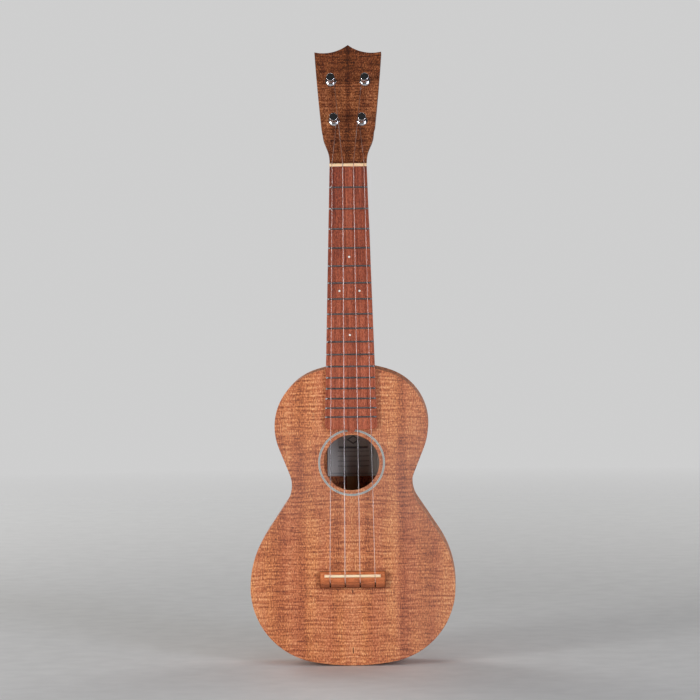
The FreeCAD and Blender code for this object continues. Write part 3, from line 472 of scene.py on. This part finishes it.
FINE_GRAIN = (900, 900, 900)
BONE_GRAIN = (40, 900, 900)
BONE_GLOW = {"Subsurface_Weight": 0.15, "Subsurface_Scale": 2.0 * MM}
chrome = plain("chrome", tint(205, 206, 210), tint(232, 233, 236), (700, 700, 700), 0.07,
               depth=0.004 * MM, metal=1.0, spread=0.03)
fret_metal = plain("fret_metal", tint(104, 102, 104), tint(146, 144, 145), (60, 2500, 2500), 0.26,
                   depth=0.01 * MM, metal=1.0, spread=0.08)
nut_bone = plain("nut_bone", tint(230, 186, 142), tint(243, 207, 165), BONE_GRAIN, 0.32,
                 depth=0.01 * MM, **BONE_GLOW)
# Painted light: a brighter copy of the bone, for the saddle.
saddle_bone_painted_bright = plain("saddle_bone_painted_bright", tint(254, 214, 168), tint(255, 238, 200), BONE_GRAIN, 0.30,
                    depth=0.01 * MM, **BONE_GLOW)
pearl = plain("pearl", tint(200, 196, 182), tint(240, 238, 228), FINE_GRAIN, 0.18, depth=0.005 * MM)
ring_light = plain("ring_light", tint(180, 186, 179), tint(185, 191, 184), FINE_GRAIN, 0.45,
                   depth=0.002 * MM)
ring_dark = plain("ring_dark", tint(46, 50, 52), tint(54, 58, 62), FINE_GRAIN, 0.45, depth=0.002 * MM)
button_stuff = plain("button_stuff", tint(10, 10, 11), tint(24, 24, 26), (1600, 1600, 1600), 0.27)
fibre = plain("fibre", tint(30, 27, 24), tint(66, 58, 50), (2200, 2200, 600), 0.85, depth=0.05 * MM)

# Painted highlight and shade from the bridge to the head, with the dark stretch over the soundhole.
STRING_ENDS = (-0.4, 0.1)
STRING_PAINTED_LIGHT = [
    (0.0, tint(212, 176, 160)), (0.175, tint(208, 172, 158)), (0.20, tint(96, 90, 94)),
    (0.275, tint(96, 90, 94)), (0.30, tint(184, 136, 124)), (0.60, tint(178, 124, 112)),
    (0.76, tint(156, 106, 92)), (0.82, tint(120, 78, 60)), (1.0, tint(120, 78, 60)),
]


def clear_string():
    """Nylon whose tone along the string is painted highlight and shade, dark over the soundhole."""
    s = Shader("string_stuff")
    _, _, z = s.split(s.place)
    # Painted highlight and shade along the string.
    tone = s.ramp(s.range(z, *STRING_ENDS), STRING_PAINTED_LIGHT)
    mottle = s.noise(s.vector("MULTIPLY", s.place, (300, 300, 300)), 2.0)
    s.bump(mottle, 0.002 * MM, 0.5)
    colour = s.mix(s.range(mottle, 0.3, 0.7, 0.0, 0.12), tone, tint(220, 200, 190))
    dull = s.range(mottle, 0.3, 0.7, 0.13, 0.17)
    return s.finish(colour, dull, IOR=1.7, Specular_IOR_Level=0.8, Coat_Weight=0.35, Coat_Roughness=0.1)


string_stuff = clear_string()

# One where the label's border is printed, by the distance from its edge in border units.
BORDER_UNIT = 5.0 * MM
BORDER = [
    (0.0, 0.0), (0.44, 0.0), (0.45, 1.0), (0.53, 1.0), (0.54, 0.0), (0.64, 0.0), (0.65, 1.0),
    (0.68, 1.0), (0.69, 0.0),
]
LOZENGE_V = 0.82
BAR_V = 0.645
RULES_TOP_V = 0.6
RULES_FOOT_V = 0.15
RULES = 9.0


def paper(low, high):
    """Cream paper between two corners: a double border, a lozenge, a bar and blank lines, and no text."""
    s = Shader("paper")
    x, _, z = s.split(s.place)
    u = s.range(x, low.x, high.x)
    v = s.range(z, low.z, high.z)
    fibres = s.noise(s.vector("MULTIPLY", s.place, (2600, 900, 2600)), 3.0, 0.6)
    colour = s.mix(s.range(fibres, 0.3, 0.7), tint(214, 205, 198), tint(238, 230, 222))

    edge_u = s.calc("MINIMUM", u, s.calc("SUBTRACT", 1.0, u))
    edge_v = s.calc("MINIMUM", v, s.calc("SUBTRACT", 1.0, v))
    from_side = s.calc("MULTIPLY", edge_u, high.x - low.x)
    from_end = s.calc("MULTIPLY", edge_v, high.z - low.z)
    edge = s.calc("MINIMUM", from_side, from_end)
    border = s.ramp(s.calc("MULTIPLY", edge, 1 / BORDER_UNIT), BORDER)

    row = s.calc("FRACT", s.calc("MULTIPLY", v, RULES))
    rule = s.calc("MULTIPLY", s.calc("LESS_THAN", row, 0.10), s.calc("LESS_THAN", v, RULES_TOP_V))
    above = s.calc("GREATER_THAN", v, RULES_FOOT_V)
    inside = s.calc("MULTIPLY", s.calc("GREATER_THAN", edge_u, 0.2), above)
    printed = s.calc("MAXIMUM", border, s.calc("MULTIPLY", rule, inside))

    across = s.calc("ABSOLUTE", s.calc("SUBTRACT", u, 0.5))
    upwards = s.calc("ABSOLUTE", s.calc("SUBTRACT", v, LOZENGE_V))
    ring = s.calc("ADD", s.calc("MULTIPLY", across, 7.0), s.calc("MULTIPLY", upwards, 9.0))
    lozenge = s.calc("MULTIPLY", s.calc("LESS_THAN", ring, 0.9), s.calc("GREATER_THAN", ring, 0.62))
    level = s.calc("LESS_THAN", s.calc("ABSOLUTE", s.calc("SUBTRACT", v, BAR_V)), 0.022)
    bar = s.calc("MULTIPLY", s.calc("LESS_THAN", across, 0.28), level)
    printed = s.calc("MAXIMUM", printed, s.calc("MAXIMUM", lozenge, bar))

    wear = s.range(fibres, 0.35, 0.6, 0.5, 0.85)
    colour = s.mix(s.calc("MULTIPLY", printed, wear), colour, tint(46, 40, 38))
    s.bump(fibres, 0.04 * MM, 0.5)
    return s.finish(colour, 0.85)


def paint(material, *names):
    """Gives the CAD pieces of those names the material."""
    for name in names:
        slots = nodes[name].data.materials
        slots.clear()
        slots.append(material)


paint(koa_top, "soundboard_bass", "soundboard_treble")
paint(koa_back, "back_bass", "back_treble")
paint(koa_side, "side_bass", "side_treble")
paint(koa_head, "headplate")
paint(neck_wood, "neck")
paint(block_wood, "neck_block", "tail_block", "bridge_plate")
paint(lining_wood, "top_linings", "back_linings")
paint(spruce_across, "upper_top_brace", "lower_top_brace", "back_braces")
paint(spruce_along, "fan_braces", "back_centre_strip")
paint(board_wood, "fingerboard")
paint(bridge_wood, "bridge")
paint(nut_bone, "nut")
paint(saddle_bone_painted_bright, "saddle")
paint(fret_metal, "frets")
paint(pearl, "position_dots")
paint(ring_light, "rosette_light_rings")
paint(ring_dark, "rosette_dark_rings")
paint(chrome, "peg_bushings", "peg_collars")
for letter in LETTERS:
    paint(chrome, "peg_post_" + letter, "peg_screw_" + letter)
    paint(fibre, "peg_washer_" + letter)


# ------------------------------------------------------------------ mesh helpers
def add_mesh(name, vertices, faces, material, smooth=True):
    """A new object in the scene, from points in metres."""
    mesh = bpy.data.meshes.new(name)
    mesh.from_pydata([tuple(v) for v in vertices], [], faces)
    mesh.validate()
    if smooth:
        mesh.polygons.foreach_set("use_smooth", [True] * len(mesh.polygons))
    mesh.materials.append(material)
    piece = bpy.data.objects.new(name, mesh)
    bpy.context.scene.collection.objects.link(piece)
    return piece


def rounded(points, radii, steps=8):
    """A route of straight runs, with a smooth bend at each inner point."""
    route = [points[0]]
    for before, corner, after, radius in zip(points, points[1:], points[2:], radii):
        u = (before - corner).normalized()
        v = (after - corner).normalized()
        half = u.angle(v) / 2
        trim = radius / math.tan(half)
        bisector = (u + v).normalized()
        centre = corner + bisector * (radius / math.sin(half))
        a = corner + u * trim - centre
        b = corner + v * trim - centre
        route += [centre + a.slerp(b, i / steps) * radius for i in range(steps + 1)]
    return route + [points[-1]]


def tube(route, radius, sides=14, closed=False):
    """Vertices and faces of a round tube along a route, which is closed or has capped ends."""
    count = len(route)
    tangents = []
    for i in range(count):
        ahead = route[(i + 1) % count] if closed or i < count - 1 else route[i]
        behind = route[i - 1] if closed or i > 0 else route[i]
        tangents.append((ahead - behind).normalized())
    across = tangents[0].orthogonal().normalized()
    vertices, faces = [], []
    for i, (point, tangent) in enumerate(zip(route, tangents)):
        if i:
            across = tangents[i - 1].rotation_difference(tangent) @ across
        other = tangent.cross(across)
        for k in range(sides):
            a = 2 * math.pi * k / sides
            vertices.append(point + (across * math.cos(a) + other * math.sin(a)) * radius)
    rings = count if closed else count - 1
    for i in range(rings):
        for k in range(sides):
            n = (k + 1) % sides
            j = (i + 1) % count
            faces.append((i * sides + k, i * sides + n, j * sides + n, j * sides + k))
    if not closed:
        faces.append(tuple(range(sides - 1, -1, -1)))
        faces.append(tuple((count - 1) * sides + k for k in range(sides)))
    return vertices, faces


def joined(*parts):
    """The vertices and faces of several meshes as one."""
    vertices, faces = [], []
    for more_vertices, more_faces in parts:
        start = len(vertices)
        vertices += more_vertices
        faces += [tuple(index + start for index in face) for face in more_faces]
    return vertices, faces


def lathe(profile, corner, closed=False, segments=64):
    """Vertices and faces of a turned piece, from (radius, height) points with rounded corners.

    A closed profile goes round a bore; an open one starts and ends on the axis.
    """
    points = [Vector((r, 0, h)) for r, h in profile]
    if closed:
        points = [(points[0] + points[-1]) / 2] + points + [(points[0] + points[-1]) / 2]
    reach = [min((b - a).length, (c - b).length) * 0.4 for a, b, c in zip(points, points[1:], points[2:])]
    bends = []
    for (a, b, c), room in zip(zip(points, points[1:], points[2:]), reach):
        half = (a - b).angle(c - b) / 2
        bends.append(min(corner, room * math.tan(half)))
    outline = rounded(points, bends, 4)
    if closed:
        outline = outline[:-1]
    vertices, rings = [], []
    for point in outline:
        count = 1 if point.x < 1e-6 else segments
        rings.append([len(vertices) + k for k in range(count)])
        for k in range(count):
            a = 2 * math.pi * k / segments
            vertices.append(Vector((point.x * math.cos(a), point.x * math.sin(a), point.z)))
    pairs = list(zip(rings, rings[1:] + rings[:1]))
    faces = []
    for one, two in pairs if closed else pairs[:-1]:
        for k in range(segments):
            n = (k + 1) % segments
            around = [one[k % len(one)], one[n % len(one)], two[n % len(two)], two[k % len(two)]]
            faces.append(tuple(dict.fromkeys(around)))
    return vertices, faces


def tidy_mesh(piece):
    """Outward faces, and normals that keep the flats flat."""
    work = bmesh.new()
    work.from_mesh(piece.data)
    bmesh.ops.recalc_face_normals(work, faces=work.faces)
    work.to_mesh(piece.data)
    work.free()
    piece.data.polygons.foreach_set("use_smooth", [True] * len(piece.data.polygons))
    piece.modifiers.new("flats", "WEIGHTED_NORMAL")


def drill(piece, vertices, faces):
    """Cuts a closed shape out of the piece's mesh."""
    cutter = add_mesh("cutter", vertices, faces, piece.data.materials[0])
    cut = piece.modifiers.new("cut", "BOOLEAN")
    cut.operation = "DIFFERENCE"
    cut.object = cutter
    graph = bpy.context.evaluated_depsgraph_get()
    result = bpy.data.meshes.new_from_object(piece.evaluated_get(graph))
    piece.modifiers.remove(cut)
    piece.data = result
    bpy.data.objects.remove(cutter)


# ------------------------------------------------------------------ strings and their windings
JOINTS = {j["child"][-1]: j for j in frame["joints"]}
RING_STEPS = 72
COIL_STEPS = 144
LEAD_STEPS = 24
TURNS = 2.0
PITCH = 1.98
LEAD_HALVES = 1.1
LEAD_BULGE = 0.15
COIL_SLIM = 0.985
# The tail goes in at the eye's mouth, and on through it: along the eye in waist radii, then sideways
# and up in mm.
TAIL_START = (1.02, 0.12)
TAIL = ((0.0, 0.0, 0.0), (-1.05, 0.0, 0.0), (-1.35, 0.10, 0.08), (-1.75, 0.35, 0.25))
# Radii of the bends over the bridge's slot, the saddle and the nut.
BENDS = (1.3, 2.0, 1.5)
KNOT_STEPS = 60
KNOT_SIZE = 0.3
KNOT_THICK = 1.4


def peg_matrix(letter):
    """The peg's own frame: Z out along its axis, Z = 0 at the headplate's face."""
    joint = JOINTS[letter]
    turn = Matrix.Rotation(math.radians(PEG_TURN[letter]), 4, "Z")
    lean = Matrix.Rotation(math.radians(90) - TILT, 4, "X")
    return Matrix.Translation(Vector(joint["pos_m"])) @ lean @ turn


def wrap_height(letter):
    """Height of the string at its post above the headplate, level with the nut's slot."""
    return (NUT_FLOOR + STRING_R[letter] + CLEAR) * math.cos(TILT) - PLATE_T


def wrap_radius(letter):
    """Radius of the winding's middle line."""
    return WAIST_R + STRING_R[letter] + CLEAR


def make_winding(letter):
    """A closed lowest turn, two rising turns, and a tail through the post's eye."""
    r = STRING_R[letter]
    c = wrap_radius(letter)
    low = wrap_height(letter)
    top = low + PITCH * r * TURNS
    side = 1 if letter in "gc" else -1

    def at(angle, radius, height):
        return Vector((radius * math.cos(angle), side * radius * math.sin(angle), height))

    ring = [at(2 * math.pi * i / RING_STEPS, c, low) for i in range(RING_STEPS)]
    coil = []
    for i in range(COIL_STEPS + 1):
        t = i / COIL_STEPS
        coil.append(at(math.pi + 2 * math.pi * TURNS * t, c, low + (top - low) * t))
    for i in range(1, LEAD_STEPS + 1):
        t = i / LEAD_STEPS
        angle = math.pi + 2 * math.pi * TURNS + LEAD_HALVES * math.pi * t
        rise = t * t * (3 - 2 * t)
        bulge = LEAD_BULGE * math.sin(math.pi * t)
        coil.append(at(angle, c + bulge, top + (EYE_Z - top) * rise))
    mouth = WAIST_R if coil[-1].x > 0 else -WAIST_R
    tail = [Vector((mouth * TAIL_START[0], side * TAIL_START[1], EYE_Z))]
    tail += [Vector((mouth * x, y, EYE_Z + rise)) for x, y, rise in TAIL]
    place = peg_matrix(letter)
    parts = [tube([place @ (p * MM) for p in ring], r * MM, 12, True),
             tube([place @ (p * MM) for p in coil + tail], r * COIL_SLIM * MM, 12)]
    piece = add_mesh("wound_string_" + letter, *joined(*parts), string_stuff)
    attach(piece, "peg_" + letter)
    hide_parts("winding_" + letter)


def make_string(letter):
    """A knot under the bridge, and a string over the saddle and through the nut to its post's side."""
    r = STRING_R[letter]
    x = BRIDGE_X[letter]
    knot = Vector((x, POCKET_Y, BRIDGE_REAR_Z + KNOT_DEPTH))
    peg = Vector(JOINTS[letter]["pos_m"]) / MM
    along = Vector((0, math.sin(TILT), math.cos(TILT)))
    out = Vector((0, -math.cos(TILT), math.sin(TILT)))
    origin = Vector((0, 0, NUT_TOP_Z))

    # In the head's plane, the last run meets the winding's circle as a tangent on its inner side.
    across = peg.x - NUT_X[letter]
    ahead = (peg - origin).dot(along)
    gap = math.hypot(across, ahead)
    inner = 1 if peg.x < 0 else -1
    c = wrap_radius(letter)
    heading = math.atan2(across, ahead) + inner * math.asin(c / gap)
    run = math.sqrt(gap ** 2 - c ** 2)
    end = origin + along * (run * math.cos(heading)) + out * (PLATE_T + wrap_height(letter))
    end.x = NUT_X[letter] + run * math.sin(heading)

    route = rounded([
        knot,
        Vector((x, BRIDGE_TOP_Y - SLOT_CLEAR, BRIDGE_REAR_Z + BRIDGE_SLOT_L - r - SLOT_CLEAR)),
        Vector((x, SADDLE_TOP_Y - r - SADDLE_CLEAR, SADDLE_Z)),
        Vector((NUT_X[letter], -(NUT_FLOOR + r + CLEAR), NUT_TOP_Z + NUT_BEND)),
        end,
    ], BENDS)
    trefoil = []
    for i in range(KNOT_STEPS):
        t = 2 * math.pi * i / KNOT_STEPS
        trefoil.append(knot + Vector((math.sin(t) + 2 * math.sin(2 * t), -math.sin(3 * t) * KNOT_THICK,
                                      math.cos(t) - 2 * math.cos(2 * t))) * KNOT_SIZE)
    parts = [tube([p * MM for p in route], r * MM, 14),
             tube([p * MM for p in trefoil], r * MM, 10, True)]
    piece = add_mesh("taut_string_" + letter, *joined(*parts), string_stuff)
    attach(piece, "ukulele")
    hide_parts("string_" + letter)


# ------------------------------------------------------------------ peg buttons
BUTTON_SIDES = 40
HOLLOW_DEPTH = 0.42
HOLLOW_HALF = 4.6
# Distance below the top, half width, half thickness, squareness and depth of the thumb's hollow.
BUTTON_RINGS = (
    (0.0, 3.0, 3.0, 2.0, 0.0), (0.0, 4.4, 4.4, 2.0, 0.0), (0.25, 4.7, 4.7, 2.0, 0.0),
    (1.2, 4.7, 4.7, 2.0, 0.0), (1.8, 4.35, 4.3, 2.0, 0.0), (2.6, 4.3, 3.9, 2.0, 0.0),
    (3.8, 5.4, 3.9, 2.1, 0.0), (5.2, 7.2, 4.1, 2.2, 0.1), (7.0, 9.1, 4.3, 2.3, 0.45),
    (9.0, 9.9, 4.35, 2.4, 0.8), (11.0, 9.8, 4.2, 2.4, 0.8), (12.8, 9.1, 3.8, 2.3, 0.5),
    (14.2, 7.5, 3.2, 2.2, 0.15), (14.85, 5.6, 2.8, 2.1, 0.0), (15.0, 3.4, 2.6, 2.0, 0.0),
    (15.0, 2.4, 2.4, 2.0, 0.0), (14.0, 2.35, 2.35, 2.0, 0.0),
)


def make_button(letter):
    """A flat black button with a collar on top and a thumb's hollow in each face."""
    place = peg_matrix(letter)
    vertices, faces = [], []
    for depth, half_w, half_t, power, hollow in BUTTON_RINGS:
        for k in range(BUTTON_SIDES):
            a = 2 * math.pi * k / BUTTON_SIDES
            cx, cy = math.cos(a), math.sin(a)
            x = half_w * math.copysign(abs(cx) ** (2 / power), cx)
            y = half_t * math.copysign(abs(cy) ** (2 / power), cy)
            y *= 1 - hollow * HOLLOW_DEPTH * math.exp(-(x / HOLLOW_HALF) ** 2)
            vertices.append(place @ (Vector((x, y, BUTTON_TOP - depth)) * MM))
    for i in range(len(BUTTON_RINGS) - 1):
        one, two = i * BUTTON_SIDES, (i + 1) * BUTTON_SIDES
        for k in range(BUTTON_SIDES):
            n = (k + 1) % BUTTON_SIDES
            faces.append((one + k, two + k, two + n, one + n))
    piece = add_mesh("button_" + letter, vertices, faces, button_stuff)
    soften = piece.modifiers.new("soften", "SUBSURF")
    soften.levels = 1
    soften.render_levels = 2
    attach(piece, "peg_" + letter)
    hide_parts("peg_button_" + letter)


# ------------------------------------------------------------------ turned metal of the pegs
POST_PROFILE = (
    (0, BUTTON_TOP - SHANK_L), (SHANK_R, BUTTON_TOP - SHANK_L), (SHANK_R, BUTTON_TOP),
    (SHAFT_R, BUTTON_TOP), (SHAFT_R, 2.9), (WAIST_R, 3.5), (WAIST_R, 8.3), (WAIST_R + 0.3, 9.4),
    (CAP_R - 0.15, PEG_TOP - 2.4), (CAP_R, PEG_TOP - 1.9), (CAP_R, PEG_TOP - 0.3),
    (CAP_R - 0.3, PEG_TOP), (CAP_R - 0.7, PEG_TOP), (0, PEG_TOP - 0.25),
)
BUSHING_PROFILE = (
    (BORE_R, -SLEEVE_L), (SLEEVE_R, -SLEEVE_L), (SLEEVE_R, 0.0), (5.3, 0.0), (5.3, 0.7), (5.1, 1.15),
    (4.7, 1.58), (4.2, 1.94), (3.7, 2.19), (3.4, 2.3), (BORE_R, 2.3),
)
COLLAR_PROFILE = (
    (BORE_R, COLLAR_Z + 3.5), (SLEEVE_R, COLLAR_Z + 3.5), (SLEEVE_R, COLLAR_Z), (6.4, COLLAR_Z),
    (6.4, COLLAR_Z - 1.4), (5.9, COLLAR_Z - 2.2), (5.1, COLLAR_Z - 3.5), (BORE_R, COLLAR_Z - 3.5),
)
FACET_ANGLE = math.radians(30)


def make_post(letter):
    """The turned post with its eye drilled through."""
    piece = add_mesh("post_" + letter, *lathe(POST_PROFILE, 0.3), chrome)
    eye = [Vector((-2 * SHAFT_R, 0, EYE_Z)), Vector((2 * SHAFT_R, 0, EYE_Z))]
    drill(piece, *tube(eye, EYE_R, 24))
    tidy_mesh(piece)
    piece.data.transform(peg_matrix(letter) @ Matrix.Scale(MM, 4))
    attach(piece, "peg_" + letter)
    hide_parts("peg_post_" + letter)


def make_sleeves(name, node, profile):
    """The same closed turned piece round each of the four pegs, as one object."""
    rings = []
    for letter in LETTERS:
        vertices, faces = lathe(profile, 0.16, True)
        place = peg_matrix(letter) @ Matrix.Scale(MM, 4)
        rings.append(([place @ v for v in vertices], faces))
    piece = add_mesh(name, *joined(*rings), chrome)
    tidy_mesh(piece)
    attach(piece, "ukulele")
    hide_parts(node)


make_sleeves("turned_bushings", "peg_bushings", BUSHING_PROFILE)
make_sleeves("turned_collars", "peg_collars", COLLAR_PROFILE)
for letter in LETTERS:
    make_string(letter)
    make_winding(letter)
    make_post(letter)
    make_button(letter)
    for part in ("screw", "washer"):
        node = nodes[f"peg_{part}_{letter}"]
        node.modifiers.new("edges", "EDGE_SPLIT").split_angle = FACET_ANGLE
        node.modifiers.new("flats", "WEIGHTED_NORMAL")


# ------------------------------------------------------------------ frets
CROWN_ARCS = 20
FILED_L = 1.5
FILED_H = 0.08
FILED_STEPS = 8
CROWN_ANGLE = math.radians(15)


def fret_place(n):
    """How far below the nut a fret is."""
    return SCALE * (1 - 2 ** (-n / 12))


def make_frets():
    """Seventeen crowned wires whose ends are rounded over."""
    _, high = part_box("frets")
    first, last = fret_place(1), fret_place(FRETS)
    wide = high.x / MM
    points = nodes["frets"].data.vertices
    narrow = max(v.co.x for v in points if v.co.z > high.z - 2 * CROWN_HALF * MM) / MM
    parts = []
    for n in range(1, FRETS + 1):
        drop = fret_place(n)
        reach = narrow + (wide - narrow) * (drop - first) / (last - first)
        spans = [(-reach + FILED_L * i / FILED_STEPS, i / FILED_STEPS) for i in range(FILED_STEPS + 1)]
        spans += [(-x, rise) for x, rise in reversed(spans)]
        vertices, faces = [], []
        for x, rise in spans:
            for k in range(CROWN_ARCS + 1):
                a = math.pi * k / CROWN_ARCS
                height = min(CROWN_H * math.sin(a), FILED_H + (CROWN_H - FILED_H) * rise)
                vertices.append(Vector((x, -BOARD_T - height, -drop + CROWN_HALF * math.cos(a))) * MM)
        row = CROWN_ARCS + 1
        for i in range(len(spans) - 1):
            one, two = i * row, (i + 1) * row
            for k in range(CROWN_ARCS):
                faces.append((one + k, two + k, two + k + 1, one + k + 1))
            faces.append((one + CROWN_ARCS, two + CROWN_ARCS, two, one))
        faces.append(tuple(range(row)))
        faces.append(tuple((len(spans) - 1) * row + k for k in reversed(range(row))))
        parts.append((vertices, faces))
    piece = add_mesh("fret_wires", *joined(*parts), fret_metal)
    piece.modifiers.new("edges", "EDGE_SPLIT").split_angle = CROWN_ANGLE
    tidy_mesh(piece)
    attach(piece, "ukulele")
    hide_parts("frets")


make_frets()


# ------------------------------------------------------------------ label
LABEL_T = 0.2 * MM
SHEET_T = 0.12 * MM
LABEL_COLUMNS = 44
LABEL_ROWS = 30
FLAT_HALF = 6.5 * MM
BEND_W = 9.0 * MM
SINK = 1.7 * MM
WAVE = 0.05 * MM
WAVE_X, WAVE_Z = 310.0, 190.0


def make_label():
    """A thin, slightly wavy sheet that lies on the back's centre strip and sinks beside it."""
    low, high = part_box("label")
    slope = (high.y - low.y - LABEL_T) / (high.z - low.z)
    vertices, faces = [], []
    for j in range(LABEL_ROWS + 1):
        for i in range(LABEL_COLUMNS + 1):
            x = low.x + (high.x - low.x) * i / LABEL_COLUMNS
            z = low.z + (high.z - low.z) * j / LABEL_ROWS
            off = min(max((abs(x) - FLAT_HALF) / BEND_W, 0.0), 1.0)
            sink = SINK * off * off * (3 - 2 * off)
            wave = WAVE * math.sin(x * WAVE_X + z * WAVE_Z)
            vertices.append(Vector((x, low.y + (high.z - z) * slope + sink + wave, z)))
    for j in range(LABEL_ROWS):
        for i in range(LABEL_COLUMNS):
            a = j * (LABEL_COLUMNS + 1) + i
            b = a + LABEL_COLUMNS + 1
            faces.append((a, a + 1, b + 1, b))
    piece = add_mesh("paper_label", vertices, faces, paper(low, high))
    sheet = piece.modifiers.new("sheet", "SOLIDIFY")
    sheet.thickness = SHEET_T
    sheet.offset = -1.0
    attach(piece, "ukulele")
    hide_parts("label")


make_label()


# ------------------------------------------------------------------ floor, light and camera
FLOOR_HALF = 3.0
FLOOR_GAP = 0.4 * MM
FLOOR_FADE = (0.7, 2.6)
BACKDROP = 0.62
# The room in front and behind: a range of height, then the shades at its foot and its top.
ROOM = ((-0.02, 0.14, 0.16, 0.03), (0.0, 0.5, 0.10, 0.16))
FRONT_TO_BEHIND = (-0.25, 0.35)
LIGHT_AIM = Vector((0.0, 0.0, -0.2))
CAMERA_AIM = Vector((-0.000276, 0.0, -0.1752))
CAMERA_DISTANCE = 4.0
CAMERA_AZIMUTH = math.radians(1.5)
CAMERA_ELEVATION = math.radians(2.5)
CAMERA_ROLL = math.radians(-0.645)
LENS = 217.6
SENSOR = 36.0


def make_floor():
    """A matt floor just under the ukulele, which fades out with distance."""
    s = Shader("floor")
    x, y, _ = s.split(s.place)
    distance = s.calc("SQRT", s.calc("ADD", s.calc("MULTIPLY", x, x), s.calc("MULTIPLY", y, y)))
    mottle = s.noise(s.place, 3.0, 0.5, 40.0)
    colour = s.mix(s.range(mottle, 0.3, 0.7), tint(214, 213, 211), tint(222, 221, 219))
    s.finish(colour, 0.6)
    clear = s.tree.nodes.new("ShaderNodeBsdfTransparent")
    fade = s.tree.nodes.new("ShaderNodeMixShader")
    s.put(fade.inputs[0], s.range(distance, *FLOOR_FADE))
    s.put(fade.inputs[1], s.surface.outputs[0])
    s.put(fade.inputs[2], clear.outputs[0])
    s.put(s.tree.nodes["Material Output"].inputs[0], fade.outputs[0])
    h = FLOOR_HALF
    floor = add_mesh("floor", [(-h, -h, 0), (h, -h, 0), (h, h, 0), (-h, h, 0)], [(0, 1, 2, 3)], s.material,
                     smooth=False)
    floor.location = (0, 0.03, cad_box[0].z - FLOOR_GAP)


def make_world():
    """A pale backdrop for the camera, in a dim room whose front is dark above the horizon."""
    world = bpy.data.worlds.new("studio")
    world.use_nodes = True
    tree = world.node_tree
    new, link = tree.nodes.new, tree.links.new
    back = tree.nodes["Background"]
    back.inputs[0].default_value = (*[BACKDROP] * 3, 1)
    split = new("ShaderNodeSeparateXYZ")
    link(new("ShaderNodeTexCoord").outputs["Generated"], split.inputs[0])
    shades = []
    for numbers in ROOM:
        rise = new("ShaderNodeMapRange")
        link(split.outputs[2], rise.inputs[0])
        for socket, number in zip(list(rise.inputs)[1:5], numbers):
            socket.default_value = number
        shades.append(rise.outputs[0])
    turn = new("ShaderNodeMapRange")
    link(split.outputs[1], turn.inputs[0])
    turn.inputs[1].default_value, turn.inputs[2].default_value = FRONT_TO_BEHIND
    room = new("ShaderNodeMix")
    for socket, source in zip((room.inputs[0], room.inputs[2], room.inputs[3]), (turn.outputs[0], *shades)):
        link(source, socket)
    glow = new("ShaderNodeBackground")
    link(room.outputs[0], glow.inputs[0])
    choose = new("ShaderNodeMixShader")
    link(new("ShaderNodeLightPath").outputs["Is Camera Ray"], choose.inputs[0])
    link(glow.outputs[0], choose.inputs[1])
    link(back.outputs[0], choose.inputs[2])
    link(choose.outputs[0], tree.nodes["World Output"].inputs[0])
    bpy.context.scene.world = world


def make_light(name, place, size, power, colour=(1.0, 1.0, 1.0)):
    """A soft box of a width and a height, turned to the ukulele."""
    light = bpy.data.lights.new(name, "AREA")
    light.shape = "RECTANGLE"
    light.size, light.size_y = size
    light.energy = power
    light.color = colour
    lamp = bpy.data.objects.new(name, light)
    lamp.location = place
    lamp.rotation_euler = (LIGHT_AIM - Vector(place)).to_track_quat("-Z", "Y").to_euler()
    bpy.context.scene.collection.objects.link(lamp)


def make_camera():
    """A long lens in front, a little to the right and above, slightly rolled."""
    flat = math.cos(CAMERA_ELEVATION)
    back = Vector((math.sin(CAMERA_AZIMUTH) * flat, -math.cos(CAMERA_AZIMUTH) * flat,
                   math.sin(CAMERA_ELEVATION)))
    right = (-back).cross(Vector((0, 0, 1))).normalized()
    up = right.cross(-back)
    right, up = (right * math.cos(CAMERA_ROLL) + up * math.sin(CAMERA_ROLL),
                 up * math.cos(CAMERA_ROLL) - right * math.sin(CAMERA_ROLL))
    data = bpy.data.cameras.new("camera")
    data.lens = LENS
    data.sensor_width = SENSOR
    data.clip_start = 0.01
    camera = bpy.data.objects.new("camera", data)
    turn = Matrix((right, up, back)).transposed().to_4x4()
    camera.matrix_world = Matrix.Translation(CAMERA_AIM + back * CAMERA_DISTANCE) @ turn
    bpy.context.scene.collection.objects.link(camera)
    bpy.context.scene.camera = camera


make_floor()
make_world()
make_light("left_box", (-1.75, -1.94, 0.08), (0.7, 1.4), 41)
make_light("right_box", (1.47, -2.18, 0.08), (0.7, 1.4), 35, (0.91, 0.972, 1.12))
make_light("top_box", (0.0, -0.9, 1.7), (1.4, 0.6), 6)
make_light("rear_left", (-1.5, 2.0, 0.7), (1.4, 1.4), 26)
make_light("rear_right", (1.7, 1.8, 0.5), (1.4, 1.4), 18)
make_camera()
bpy.context.scene.view_settings.view_transform = "Standard"
